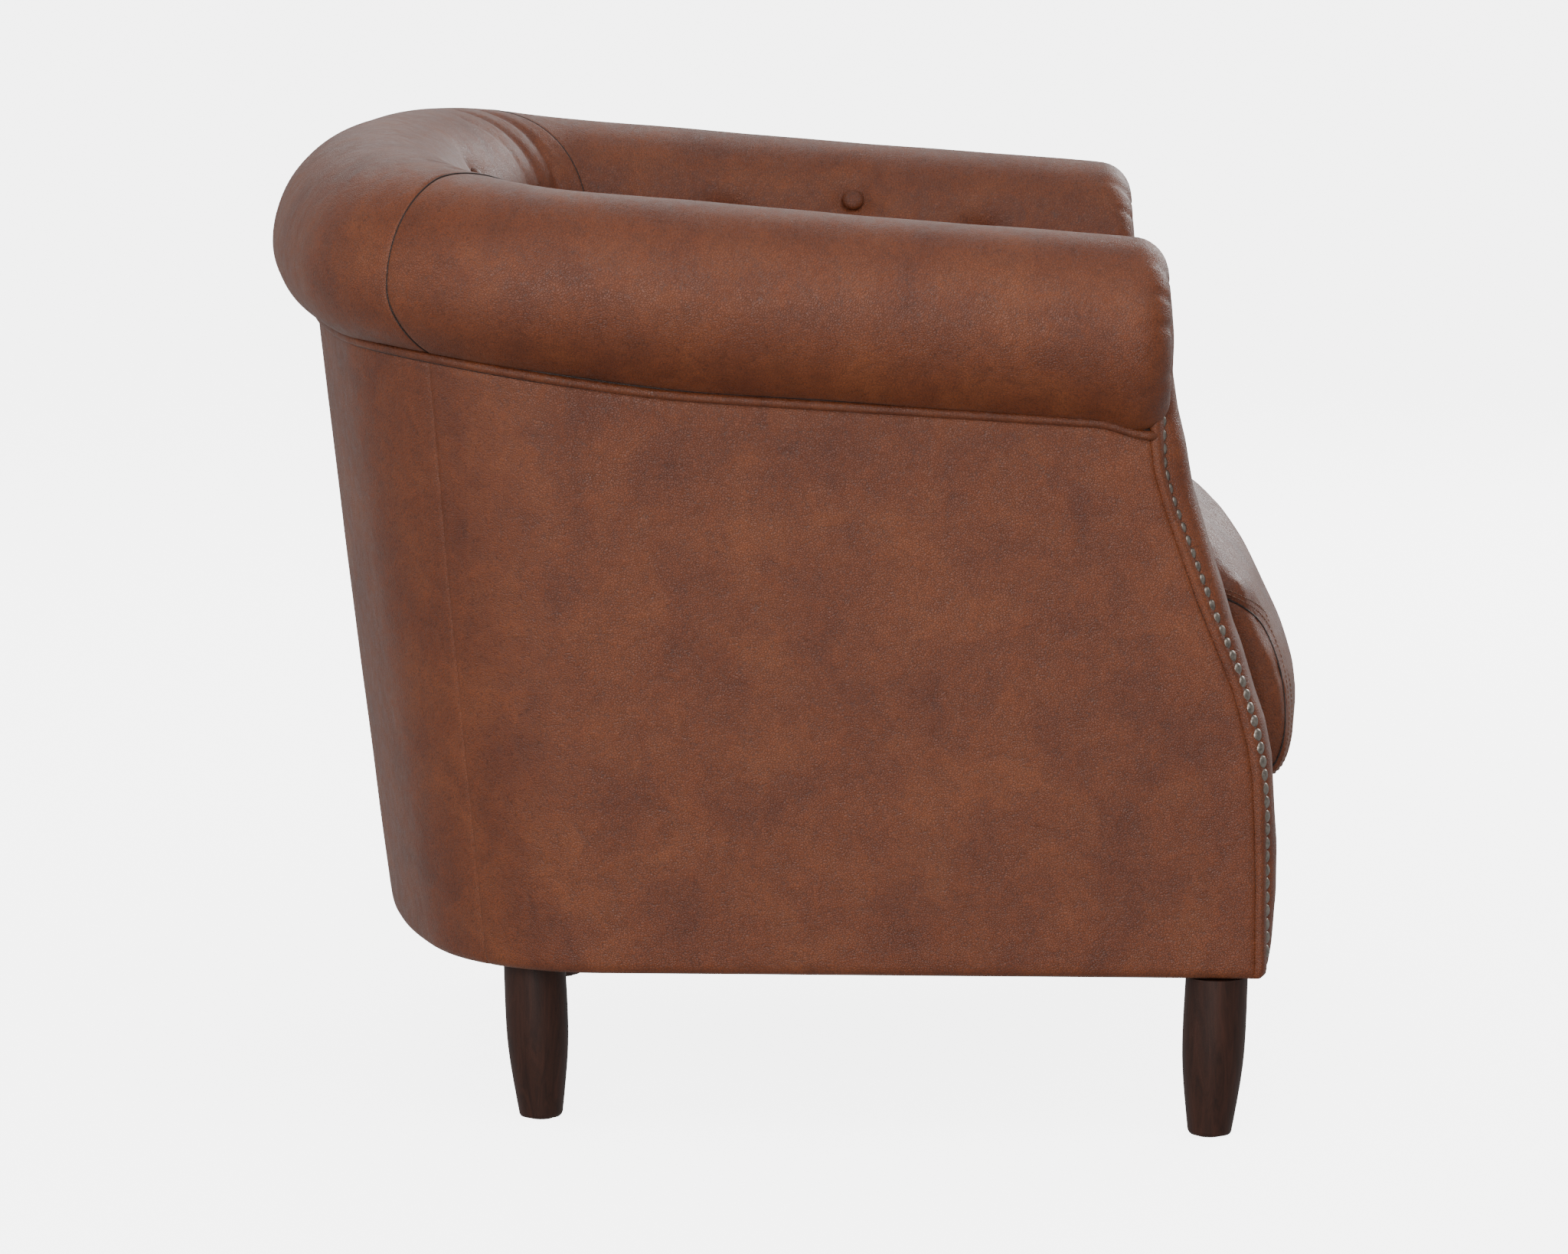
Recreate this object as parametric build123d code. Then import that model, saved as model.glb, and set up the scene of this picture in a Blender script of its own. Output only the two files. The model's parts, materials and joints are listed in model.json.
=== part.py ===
from build123d import *
import math
import os

# Club armchair with rolled arms and a rolled back in one sweep, a loose seat cushion and
# four turned feet.  Millimetres, +Z up.  The chair faces -Y, the sitter's right arm is at -X.
# Origin: middle of the footprint, on the floor.

# ---- overall ----
SKIRT_Z = 136.0             # lower edge of the leather
ROLL_HALF = 330.0           # roll centre line to the middle plane
ROLL_BACK_Y = 343.6         # roll centre line at the middle of the back
ROLL_FRONT_Y = -307.6       # front face of the arm rolls
ROLL_Z0 = 673.0             # roll centre height at Y = 0
ROLL_SLOPE = 0.079          # the roll line rises to the back
ARM_ROLL_R = 80.5
BACK_ROLL_R = 90.0
ROLL_BACK_BEND = 800.0      # plan radius of the back
ROLL_CORNER_BEND = 140.0    # plan radius of the back corners
ROLL_FULLER_Y = (150.0, 330.0)      # the roll grows from the arm's radius to the back's
ROLL_DEPTH = 110.0          # how far a roll section's straight sides reach below its centre
UNDERCUT = 59.0             # degrees below level where the roll meets the outside panels
WELT_Z0 = 603.0             # roll welt height at Y = 0
WELT_SLOPE = 0.0625
WELT_CLIMB = 17.0           # extra height it gains round the rear corner
WELT_CLIMB_Y = (60.0, 340.0)
WELT_CLIMB_STEPS = 6
UNDER_LIFT = 21.0           # the roll's underside rises with the welt round the corner
UNDER_OUT = 5.5             # and reaches less far in under the roll
FRONT_END_Y = -450.0        # where construction outlines start, ahead of every front face

# ---- plan outlines: half width, Y of the half width, back Y, side taper, back and corner bend ----
OUTER_LOW = (385.0, -300.0, 335.0, 2.4, 790.0, 161.0)
OUTER_HIGH = (371.1, -300.0, 395.2, 0.24, 851.8, 183.65)
OUTER_HIGH_Z = 655.0
INNER_LOW = (249.5, -300.0, 167.0, 0.0, 640.0, 70.0)
INNER_LOW_Z = 262.0
INNER_HIGH = (249.5, -300.0, 253.0, 0.0, 710.0, 59.0)
INNER_HIGH_Z = 690.0
CUSHION_PLAN = (246.5, -300.0, 158.0, 0.0, 600.0, 66.0)

# ---- front profile of the arms, in the Y-Z plane ----
FRONT_Y = -394.2
FRONT_LOW_BEND_Z = 255.0
FRONT_LOW_BEND_R = 372.0
FRONT_LEAN = 18.0
FRONT_RAMP = 177.0
FRONT_HIGH_BEND_R = 279.0

# ---- layers ----
LEATHER = 2.0
FACING = 15.0
BOARD = 22.0
FOAM = 42.0
WEB = 1.8
GAP = 0.3
MITRE = 38.0                # degrees round the corner bend where arm roll meets back roll
LINER_TOP_Z = 660.0
LINER_SPLIT = 55.0          # inside arm and back part this far ahead of the corner's centre
BOARD_INSET = 8.0           # board edge inside the facing

# ---- frame ----
RAIL = 26.0
RAIL_TOP_Z = 250.0
RAIL_LOW_Z = 142.0
RAIL_INSET = 2.0            # behind the leather
RAIL_JOINT_Y = 160.0
FRONT_BLOCK = (-300.0, -295.0)              # inner X and rear Y
REAR_BLOCK = (-345.0, -240.0, 165.0, 255.0)
BLOCK_H = 30.0
TOP_RAIL_W = 44.0
TOP_RAIL_LOW_Z = 500.0      # below the rail everywhere
TOP_RAIL_H = 36.0
TOP_RAIL_DROP = 2.0
TOP_RAIL_JOINT_Y = 165.0
POST_W = 40.0
POST_Y = (165.0, 225.0)
STAY_X = (-140.0, -90.0)
STAY_FRONT_Y = 250.0

# ---- feet ----
FRONT_LEG = (361.0, -349.4)
REAR_LEG = (294.0, 206.6)
LEG_LEAN = 2.2              # degrees, feet towards the chair's middle
LEG_TOP_Z = 132.5
LEG_R = 25.7                # largest radius, a third of the way down
LEG_WAIST = ((24.9, 62.0), (22.3, 36.0))
LEG_FOOT_R = 18.2
LEG_FOOT_EDGE = 6.0
GLIDE_R = 10.0
GLIDE_H = 2.0
BOLT_R = 4.0
BOLT_FIT = 0.1
BOLT_IN_LEG = 34.0
PLATE_HALF = 19.0
PLATE_H = 2.5
PLATE_SCREWS = ((-13, 6), (13, 6), (0, 14))
SCREW_R = 2.0
SCREW_HEAD_R = 3.6
SCREW_HEAD_H = 1.8

# ---- seat ----
SPRING_Z = 243.0
SPRING_WIRE_R = 1.9
SPRING_SWING = 22.0
SPRING_STEP = 24.0
SPRING_BEND = 9.0
SPRINGS = ((-196, 215), (-98, 285), (0, 292), (98, 285), (196, 215))    # X and rear Y
CLIP_HALF = 9.0
CLIP_H = 2.0
DECK_Z = 262.0
INSULATOR_Z = (252.5, 255.0)
DECK_PAD_Z = (255.2, 260.6)
DECK_COVER_Z = (260.8, DECK_Z)
DECK_INSET = 2.0
STRAP_W = 50.0
STRAP_LOW_Z = 280.0
ARM_STRAPS_Y = (-250, -130, -10)
BACK_STRAPS_X = (-175, -85, 35, 125)
BACK_STRAPS_FRONT_Y = 175
DUST_CLOTH = 1.2
CUSHION_Z = 266.0
CUSHION_SIDE_Z = 436.0
CUSHION_TOP_Z = 500.0
CUSHION_NOSE = (-433.6, 312.0)
CUSHION_CROWN_Z = 514.0     # flat top of the side profile, above the crowned section
CUSHION_FRONT_Z = 424.0
ZIP_Z = 350.0
ZIP_HALF = 170.0
ZIP_TAPE = (12.0, 1.6)      # half height and thickness
ZIP_TEETH = (2.0, 2.8)      # half height and reach beyond the cushion
SLIDER_HALF = 6.0
SLIDER_Y = (3.2, 6.0, 9.0)  # body front, body rear and eye rear, behind the cushion
SLIDER_HALF_Z = (5.0, 4.0)  # body and eye
EYE_Y = 7.4
EYE_R = 0.9
PULL_PIN_R = 0.8
PULL_HALF = 3.5
PULL_EAR = 1.5
PULL_EAR_DROP = 6.0
PULL_DROP = 19.0

# ---- trim ----
WELT_R = 4.5
ROLL_WELT_OUT = 4.0
ROLL_WELT_H = 6.0
ROLL_WELT_ROUND = 0.8
NAIL_R = 5.5
NAIL_H = 3.0
NAIL_PITCH = 11.3
NAIL_INSET = 9.0
NAIL_RING_INSET = 22.0
NAIL_ENDS_Z = (146.0, 147.0)        # lowest nails outside and inside
NAIL_NECKS = (-132.0, -22.0)        # degrees round the roll where the straight rows start
BUTTON_R = 9.6
BUTTON_H = 2.8
HIGH_BUTTON_ANGLE = 151.0   # degrees over the roll from its outside
LOW_BUTTON_ANGLE = 172.0
HIGH_BUTTON_Y = -58.0
LOW_BUTTONS_Y = (-170.0, 54.0)
BACK_BUTTON_X = 103.0
ARM_BUTTON_LIFT = 0.5
BACK_BUTTON_LIFT = 3.5

X_AXIS = (1, 0, 0)
BIG = 1200.0                # beyond every side of the chair


def outline_marks(plan, grow=0.0):
    """Right-hand half of a U-shaped plan: side start, bend start, bend middle, bend end."""
    half, ref_y, back_y, taper, r_back, r_corner = plan
    tilt = math.radians(taper)
    half = half + grow / math.cos(tilt)
    back_y = back_y + grow
    r_back = r_back + grow
    r_corner = r_corner + grow
    back_centre = Vector(0, back_y - r_back)
    side_out = Vector(math.cos(tilt), math.sin(tilt))
    side_dir = Vector(-math.sin(tilt), math.cos(tilt))
    start = Vector(half, ref_y) + side_dir * ((FRONT_END_Y - ref_y) / math.cos(tilt))
    foot = Vector(half, ref_y) - side_out * r_corner
    reach = r_back - r_corner
    from_back = foot - back_centre
    along = from_back.dot(side_dir)
    travel = -along + math.sqrt(along * along - from_back.length ** 2 + reach * reach)
    centre = foot + side_dir * travel
    bend_start = centre + side_out * r_corner
    to_corner = (centre - back_centre).normalized()
    bend_end = back_centre + to_corner * r_back
    bend_middle = centre + (side_out + to_corner).normalized() * r_corner
    return start, bend_start, bend_middle, bend_end, Vector(0, back_y)


def outline_face(plan, z, grow=0.0):
    """Closed U-shaped face at height z."""
    start, bend_start, bend_middle, bend_end, back = outline_marks(plan, grow)
    lift = Vector(0, 0, z)

    def flip(point):
        return Vector(-point.X, point.Y) + lift

    edges = [
        Edge.make_line(start + lift, bend_start + lift),
        Edge.make_three_point_arc(bend_start + lift, bend_middle + lift, bend_end + lift),
        Edge.make_three_point_arc(bend_end + lift, back + lift, flip(bend_end)),
        Edge.make_three_point_arc(flip(bend_end), flip(bend_middle), flip(bend_start)),
        Edge.make_line(flip(bend_start), flip(start)),
        Edge.make_line(flip(start), start + lift),
    ]
    return Face(Wire(edges))


def mix_z(low_plan, high_plan, low_z, high_z, z):
    """Plan of a ruled wall at height z."""
    share = (z - low_z) / (high_z - low_z)
    return tuple(a + (b - a) * share for a, b in zip(low_plan, high_plan))


def outer_body(grow, z_low, z_high):
    """Everything inside the outside panels, offset by grow."""
    low = mix_z(OUTER_LOW, OUTER_HIGH, SKIRT_Z, OUTER_HIGH_Z, z_low)
    high = mix_z(OUTER_LOW, OUTER_HIGH, SKIRT_Z, OUTER_HIGH_Z, z_high)
    return loft([outline_face(low, z_low, grow), outline_face(high, z_high, grow)], ruled=True)


def seat_well(grow, z_low, z_high):
    """The space between the inside arms and the inside back, offset by grow."""
    low = mix_z(INNER_LOW, INNER_HIGH, INNER_LOW_Z, INNER_HIGH_Z, z_low)
    high = mix_z(INNER_LOW, INNER_HIGH, INNER_LOW_Z, INNER_HIGH_Z, z_high)
    return loft([outline_face(low, z_low, grow), outline_face(high, z_high, grow)], ruled=True)


def block(x0, x1, y0, y1, z0, z1):
    """Axis-aligned box between two corners."""
    size = Box(x1 - x0, y1 - y0, z1 - z0, align=(Align.MIN, Align.MIN, Align.MIN))
    return Pos(x0, y0, z0) * size


def welt_climb(y):
    """Share of the welt's climb that is reached at a given Y, from 0 to 1."""
    start, end = WELT_CLIMB_Y
    share = min(max((y - start) / (end - start), 0.0), 1.0)
    return share * share * (3 - 2 * share)


def welt_z(y):
    """Height of the roll welt at a given Y: straight along the arm, climbing round the corner."""
    return WELT_Z0 + WELT_SLOPE * y + WELT_CLIMB * welt_climb(y)


def welt_slab(low, high):
    """Slab that follows the roll welt, from low to high above it."""
    start, end = WELT_CLIMB_Y
    step = (end - start) / WELT_CLIMB_STEPS
    stations = [-BIG / 2] + [start + step * i for i in range(WELT_CLIMB_STEPS + 1)] + [BIG / 2]
    lower = [(y, welt_z(y) + low) for y in stations]
    upper = [(y, welt_z(y) + high) for y in reversed(stations)]
    return extrude(Plane.YZ * Polygon(*lower, *upper, align=None), BIG / 2, both=True)


def above_welt(shape, clearance=0.0):
    """Part of a shape above the roll welt."""
    return shape & welt_slab(clearance, 400.0)


def below_welt(shape, clearance=0.0):
    """Part of a shape below the roll welt."""
    return shape & welt_slab(-600.0, -clearance)


def front_y(z):
    """Y of the arm's front profile at height z."""
    lean = math.radians(FRONT_LEAN)
    low_top = FRONT_LOW_BEND_Z + FRONT_LOW_BEND_R * math.sin(lean)
    low_step = FRONT_LOW_BEND_R * (1 - math.cos(lean))
    ramp_top = low_top + FRONT_RAMP * math.cos(lean)
    ramp_step = FRONT_RAMP * math.sin(lean)
    high_top = ramp_top + FRONT_HIGH_BEND_R * math.sin(lean)
    high_step = FRONT_HIGH_BEND_R * (1 - math.cos(lean))
    if z < FRONT_LOW_BEND_Z:
        return FRONT_Y
    if z < low_top:
        rise = z - FRONT_LOW_BEND_Z
        return FRONT_Y + FRONT_LOW_BEND_R - math.sqrt(FRONT_LOW_BEND_R ** 2 - rise * rise)
    if z < ramp_top:
        return FRONT_Y + low_step + (z - low_top) * math.tan(lean)
    top_y = FRONT_Y + low_step + ramp_step + high_step
    if z < high_top:
        drop = high_top - z
        return top_y - FRONT_HIGH_BEND_R + math.sqrt(FRONT_HIGH_BEND_R ** 2 - drop * drop)
    return top_y


def behind_front(depth):
    """Everything more than depth behind the arm's front profile."""
    low = (FRONT_Y + depth, FRONT_LOW_BEND_Z)
    with BuildSketch(Plane.YZ) as side:
        with BuildLine():
            skirt = Line((FRONT_Y + depth, 0), low)
            bend_low = JernArc(low, (0, 1), FRONT_LOW_BEND_R, -FRONT_LEAN)
            ramp = Line(bend_low @ 1, (bend_low @ 1) + (bend_low % 1) * FRONT_RAMP)
            bend_high = JernArc(ramp @ 1, ramp % 1, FRONT_HIGH_BEND_R, FRONT_LEAN)
            top_y = (bend_high @ 1).X
            Polyline(bend_high @ 1, (top_y, 900), (600, 900), (600, 0), skirt @ 0)
        make_face()
    return extrude(side.sketch, amount=BIG / 2, both=True)


def front_band(near, far):
    """Slab that follows the front profile, from near to far behind it."""
    return behind_front(near) - behind_front(far)


def roll_radius(y):
    """Roll radius, fuller round the back."""
    start, end = ROLL_FULLER_Y
    share = min(max((y - start) / (end - start), 0.0), 1.0)
    ease = share * share * (3 - 2 * share)
    return ARM_ROLL_R + (BACK_ROLL_R - ARM_ROLL_R) * ease


def roll_plan():
    return (ROLL_HALF, -300.0, ROLL_BACK_Y, 0.0, ROLL_BACK_BEND, ROLL_CORNER_BEND)


def corner_centre():
    """Centre of the roll's corner bend, on the +X side."""
    start, bend_start, bend_middle, bend_end, back = outline_marks(roll_plan())
    return Vector(bend_start.X - ROLL_CORNER_BEND, bend_start.Y)


def corner_turn():
    """Angle of the corner bend, from the arm to the back."""
    start, bend_start, bend_middle, bend_end, back = outline_marks(roll_plan())
    away = bend_end - corner_centre()
    return math.degrees(math.atan2(away.Y, away.X))


def arm_station(y):
    """Plane across the +X arm roll: local x points out, local y up."""
    origin = (ROLL_HALF, y, ROLL_Z0 + ROLL_SLOPE * y)
    return Plane(origin=origin, x_dir=(1, 0, 0), z_dir=(0, -1, 0)), roll_radius(y)


def corner_station(angle):
    """Plane across the roll in the +X corner bend."""
    turn = math.radians(angle)
    centre = corner_centre()
    x = centre.X + ROLL_CORNER_BEND * math.cos(turn)
    y = centre.Y + ROLL_CORNER_BEND * math.sin(turn)
    out = (math.cos(turn), math.sin(turn), 0)
    across = (math.sin(turn), -math.cos(turn), 0)
    return Plane(origin=(x, y, ROLL_Z0 + ROLL_SLOPE * y), x_dir=out, z_dir=across), roll_radius(y)


def back_station(angle):
    """Plane across the roll along the back; angle is measured from +X round the back's centre."""
    turn = math.radians(angle)
    x = ROLL_BACK_BEND * math.cos(turn)
    y = ROLL_BACK_Y - ROLL_BACK_BEND + ROLL_BACK_BEND * math.sin(turn)
    out = (math.cos(turn), math.sin(turn), 0)
    across = (math.sin(turn), -math.cos(turn), 0)
    return Plane(origin=(x, y, ROLL_Z0 + ROLL_SLOPE * y), x_dir=out, z_dir=across), roll_radius(y)


def arm_stations():
    """Stations of one arm roll, from its front to the mitre."""
    front = ROLL_FRONT_Y + FACING + GAP
    corner = corner_centre().Y
    return [arm_station(front), arm_station(100.0), arm_station(corner),
            corner_station(MITRE / 2), corner_station(MITRE)]


def back_stations():
    """Stations of the back roll, from the +X mitre to the -X mitre."""
    turn = corner_turn()
    steps = [corner_station(MITRE), corner_station((MITRE + turn) / 2), corner_station(turn)]
    middle = [back_station(90 - (90 - turn) * share) for share in (0.6, 0.2)]
    half = steps + middle
    mirrored = [(mirrored_plane(plane), radius) for plane, radius in reversed(half)]
    return half + [back_station(90)] + mirrored


def mirrored_plane(plane):
    """Station plane mirrored to the -X side, with local x still pointing out."""
    origin = Vector(-plane.origin.X, plane.origin.Y, plane.origin.Z)
    out = Vector(-plane.x_dir.X, plane.x_dir.Y, 0)
    across = Vector(plane.z_dir.X, -plane.z_dir.Y, 0)
    return Plane(origin=origin, x_dir=out, z_dir=across)


def roll_wire(station, shrink):
    """Solid roll section: round over the top, flat inside face, open to the body below."""
    plane, radius = station
    r = radius - shrink
    low = math.radians(UNDERCUT)
    climb = welt_climb(plane.origin.Y + plane.x_dir.Y * r * math.cos(low))
    foot = r * math.cos(low) + UNDER_OUT * climb
    drop = r * math.sin(low) - UNDER_LIFT * climb
    bend = ((r - foot) ** 2 + drop ** 2) / (2 * (r - foot))
    half = math.asin(drop / bend) / 2
    under = plane.from_local_coords((foot, -drop))
    belly = plane.from_local_coords((r - bend + bend * math.cos(half), -bend * math.sin(half)))
    outer = plane.from_local_coords((r, 0))
    shoulder = plane.from_local_coords((r * math.sqrt(0.5), r * math.sqrt(0.5)))
    top = plane.from_local_coords((0, r))
    inside = plane.from_local_coords((-r, 0))
    foot_out = plane.from_local_coords((foot, -ROLL_DEPTH))
    foot_in = plane.from_local_coords((-r, -ROLL_DEPTH))
    edges = [
        Edge.make_three_point_arc(under, belly, outer),
        Edge.make_three_point_arc(outer, shoulder, top),
        Edge.make_three_point_arc(top, middle_of(plane, r), inside),
        Edge.make_line(inside, foot_in),
        Edge.make_line(foot_in, foot_out),
        Edge.make_line(foot_out, under),
    ]
    return Wire(edges)


def middle_of(plane, r):
    """Point of the roll section half-way between its top and its inside."""
    side = r * math.sqrt(0.5)
    return plane.from_local_coords((-side, side))


def roll_solid(stations, shrink):
    """Loft of roll sections, cut along the welt."""
    wires = [roll_wire(station, shrink) for station in stations]
    return above_welt(Solid.make_loft(wires, ruled=True), GAP)


def mitre_cut(shape, keep_arm):
    """Keep the arm side or the back side of the two corner mitres."""
    centre = corner_centre()
    turn = math.radians(MITRE)
    side = -1 if keep_arm else 1
    for x_sign in (-1, 1):
        normal = (-math.sin(turn) * x_sign * side, math.cos(turn) * side, 0)
        plane = Plane(origin=(centre.X * x_sign, centre.Y, 0), z_dir=normal)
        half_space = plane * Box(3 * BIG, 3 * BIG, BIG, align=(Align.CENTER, Align.CENTER, Align.MIN))
        half_side = block(-BIG, 0, -BIG, BIG, -1, BIG) if x_sign < 0 else block(0, BIG, -BIG, BIG, -1, BIG)
        other = block(0, BIG, -BIG, BIG, -1, BIG) if x_sign < 0 else block(-BIG, 0, -BIG, BIG, -1, BIG)
        shape = (shape & half_side & half_space) + (shape & other)
    return shape


def right_side(shape):
    """Half of a shape on the sitter's right, -X."""
    return shape & block(-BIG, -GAP / 2, -BIG, BIG, -1, BIG)


def left_of(shape):
    """The sitter's left copy of a right-hand piece."""
    return mirror(shape, about=Plane.YZ)


# ---- covers and padding ----

def outside_cover():
    """Leather of the outside arms and back, one U before it is cut at its seams."""
    skin = outer_body(0, SKIRT_Z, OUTER_HIGH_Z) - outer_body(-LEATHER, SKIRT_Z - 1, OUTER_HIGH_Z + 1)
    skin = skin & behind_front(FACING + GAP)
    return below_welt(skin, GAP)


def seat_liner(near, far, z_low):
    """Layer of the inside arms and back between two offsets of the seat well."""
    layer = seat_well(far, z_low, LINER_TOP_Z) - seat_well(near, z_low - 1, LINER_TOP_Z + 1)
    return below_welt(layer & behind_front(FACING + BOARD + 2 * GAP), GAP)


def arm_part(shape):
    """Arm length of a seat liner, ahead of the corner bend."""
    return right_side(shape & block(-BIG, BIG, -BIG, corner_centre().Y - LINER_SPLIT, 0, BIG))


def back_part(shape):
    """Back and corners of a seat liner."""
    return shape & block(-BIG, BIG, corner_centre().Y - LINER_SPLIT + GAP, BIG, 0, BIG)


def facing_sketch(grow):
    """Outline of the right arm's front, in the X-Z plane: roll on top, panel below."""
    roll_z = ROLL_Z0 + ROLL_SLOPE * ROLL_FRONT_Y
    low = math.radians(UNDERCUT)
    neck_x = -ROLL_HALF - ARM_ROLL_R * math.cos(low)
    neck_z = roll_z - ARM_ROLL_R * math.sin(low)
    foot_x = -outline_marks(OUTER_LOW)[0].X + 2.0
    inner_x = -INNER_LOW[0]
    with BuildSketch(Plane.XZ) as panel:
        with BuildLine():
            Polyline((neck_x - grow, neck_z), (foot_x - grow, SKIRT_Z - min(grow, 0)),
                     (inner_x + grow, SKIRT_Z - min(grow, 0)), (inner_x + grow, roll_z),
                     (-ROLL_HALF, roll_z), (neck_x - grow, neck_z))
        make_face()
        with Locations((-ROLL_HALF, roll_z)):
            Circle(ARM_ROLL_R + grow)
    return extrude(panel.sketch, amount=500)


def arm_front_cover():
    """Padded leather facing of the right arm."""
    return facing_sketch(0) & front_band(0, FACING)


def arm_front_board():
    """Plywood board behind the facing; it carries the roll, the rails and the nails."""
    board = facing_sketch(-BOARD_INSET) & front_band(FACING + GAP, FACING + GAP + BOARD)
    low = below_welt(board) & outer_body(-LEATHER - GAP, SKIRT_Z, OUTER_HIGH_Z)
    return low + above_welt(board)


def front_board_space():
    """Room that the right front board takes, with its clearance."""
    return facing_sketch(GAP - BOARD_INSET) & front_band(FACING, FACING + 2 * GAP + BOARD)


def front_border():
    """Padded leather panel under the cushion's front edge."""
    return block(-INNER_LOW[0] + GAP, INNER_LOW[0] - GAP, FRONT_Y - 4.0, FRONT_Y + FACING, SKIRT_Z, DECK_Z)


def front_border_welt():
    """Piping along the top edge of the front border."""
    rod = Cylinder(WELT_R, 2 * (INNER_LOW[0] - 1.0), rotation=(0, 90, 0))
    return Pos(0, FRONT_Y + 1.0, DECK_Z + WELT_R - 1.0) * rod - front_border() - cushion_space(-GAP)


def roll_welt():
    """Piping in the groove under the roll, round arms and back."""
    def ring(grow, rise):
        band = outer_body(grow, SKIRT_Z, OUTER_HIGH_Z) & behind_front(FACING + GAP)
        return band & welt_slab(-GAP - ROLL_WELT_H + rise, -GAP - rise)
    return ring(ROLL_WELT_OUT, ROLL_WELT_ROUND) - outer_body(GAP, SKIRT_Z - 1, OUTER_HIGH_Z + 1)


# ---- frame ----

def behind_board(shape):
    """Part of a shape that clears the front boards."""
    return shape & behind_front(FACING + BOARD + 3 * GAP)


def rail_band(depth, z_low, z_high):
    """Bent rail just inside the outside covers."""
    start = LEATHER + RAIL_INSET
    band = outer_body(-start, z_low, z_high) - outer_body(-start - depth, z_low - 1, z_high + 1)
    return behind_board(band)


def leg_blocks():
    """Plywood blocks in the four corners, bored for the hanger bolts."""
    inside = behind_board(outer_body(-LEATHER - RAIL_INSET, RAIL_LOW_Z, RAIL_LOW_Z + BLOCK_H))
    front = inside & block(-BIG, FRONT_BLOCK[0], -BIG, FRONT_BLOCK[1], 0, BIG)
    rear = inside & block(*REAR_BLOCK, 0, BIG)
    pieces = []
    for piece, leg in ((front, FRONT_LEG), (rear, REAR_LEG)):
        bored = piece - Pos(-leg[0], leg[1], RAIL_LOW_Z) * Cylinder(BOLT_R + BOLT_FIT, BIG)
        pieces += [bored, left_of(bored)]
    return pieces


def side_rail():
    """Right side rail, notched over the leg blocks."""
    rail = rail_band(RAIL, RAIL_LOW_Z, RAIL_TOP_Z) & block(-BIG, 0, -BIG, RAIL_JOINT_Y, 0, BIG)
    return rail - block(-BIG, 0, -BIG, FRONT_BLOCK[1] + GAP, 0, RAIL_LOW_Z + BLOCK_H + GAP)


def back_rail():
    """Bent back rail, notched over the rear leg blocks."""
    rail = rail_band(RAIL, RAIL_LOW_Z, RAIL_TOP_Z) & block(-BIG, BIG, RAIL_JOINT_Y + GAP, BIG, 0, BIG)
    x0, x1, y0, y1 = REAR_BLOCK
    notch = block(x0 - GAP, x1 + GAP, y0 - GAP, y1 + GAP, 0, RAIL_LOW_Z + BLOCK_H + GAP)
    return rail - notch - left_of(notch)


def front_rail():
    """Front rail between the two front boards."""
    half = INNER_LOW[0] + BOARD_INSET - GAP
    return block(-half, half, FRONT_Y + FACING + GAP, FRONT_Y + FACING + GAP + RAIL, RAIL_LOW_Z, RAIL_TOP_Z)


def top_rail():
    """Bent rail just under the welt."""
    zone = welt_slab(-TOP_RAIL_H, -TOP_RAIL_DROP)
    return rail_band(TOP_RAIL_W, TOP_RAIL_LOW_Z, OUTER_HIGH_Z) & zone


def upright(depth, x0, x1, y0, y1):
    """Part of the wall between the back rail and the top rail."""
    band = rail_band(depth, RAIL_TOP_Z + GAP, OUTER_HIGH_Z) & block(x0, x1, y0, y1, 0, BIG)
    return below_welt(band, TOP_RAIL_H + GAP)


def back_post():
    """Right rear corner post."""
    return upright(POST_W, -BIG, 0, *POST_Y)


def back_stays():
    """Two uprights in the back."""
    stay = upright(RAIL, *STAY_X, STAY_FRONT_Y, BIG)
    return [stay, left_of(stay)]


# ---- suspension ----

def spring(x, y_back):
    """One zigzag seat spring from the front rail to the back rail."""
    y_front = FRONT_Y + FACING + RAIL + 6.0
    count = int((y_back - y_front) / SPRING_STEP)
    points = [(x - SPRING_SWING, y_front, SPRING_Z)]
    for i in range(1, count):
        side = SPRING_SWING if i % 2 else -SPRING_SWING
        points.append((x + side, y_front + SPRING_STEP * (i + 0.5), SPRING_Z))
    path = FilletPolyline(*points, radius=SPRING_BEND)
    start = Plane(origin=path @ 0, z_dir=path % 0)
    return sweep(start * Circle(SPRING_WIRE_R), path=path)


def springs():
    """Five springs side by side."""
    return [spring(x, y_back) for x, y_back in SPRINGS]


def spring_clips():
    """Steel clips that hold the front ends of the springs to the front rail."""
    y = FRONT_Y + FACING + RAIL / 2
    y0, y1 = y - CLIP_HALF, y + CLIP_HALF
    return [block(x - CLIP_HALF, x + CLIP_HALF, y0, y1, RAIL_TOP_Z, RAIL_TOP_Z + CLIP_H) for x, _ in SPRINGS]


def deck_layer(z_low, z_high):
    """Layer of the seat deck, inside the arms and back."""
    layer = seat_well(-DECK_INSET, z_low, z_high)
    return layer & behind_front(FACING + GAP)


def webbing(boxes):
    """Straps behind the foam, where the given boxes cut the layer."""
    layer = seat_liner(FOAM + GAP, FOAM + GAP + WEB, STRAP_LOW_Z)
    return [layer & cut for cut in boxes]


def arm_webbing():
    """Three straps behind each inside arm."""
    straps = webbing([block(-BIG, 0, y, y + STRAP_W, 0, BIG) for y in ARM_STRAPS_Y])
    return straps + [left_of(strap) for strap in straps]


def back_webbing():
    """Four straps behind the inside back."""
    return webbing([block(x, x + STRAP_W, BACK_STRAPS_FRONT_Y, BIG, 0, BIG) for x in BACK_STRAPS_X])


# ---- cushion ----

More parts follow.
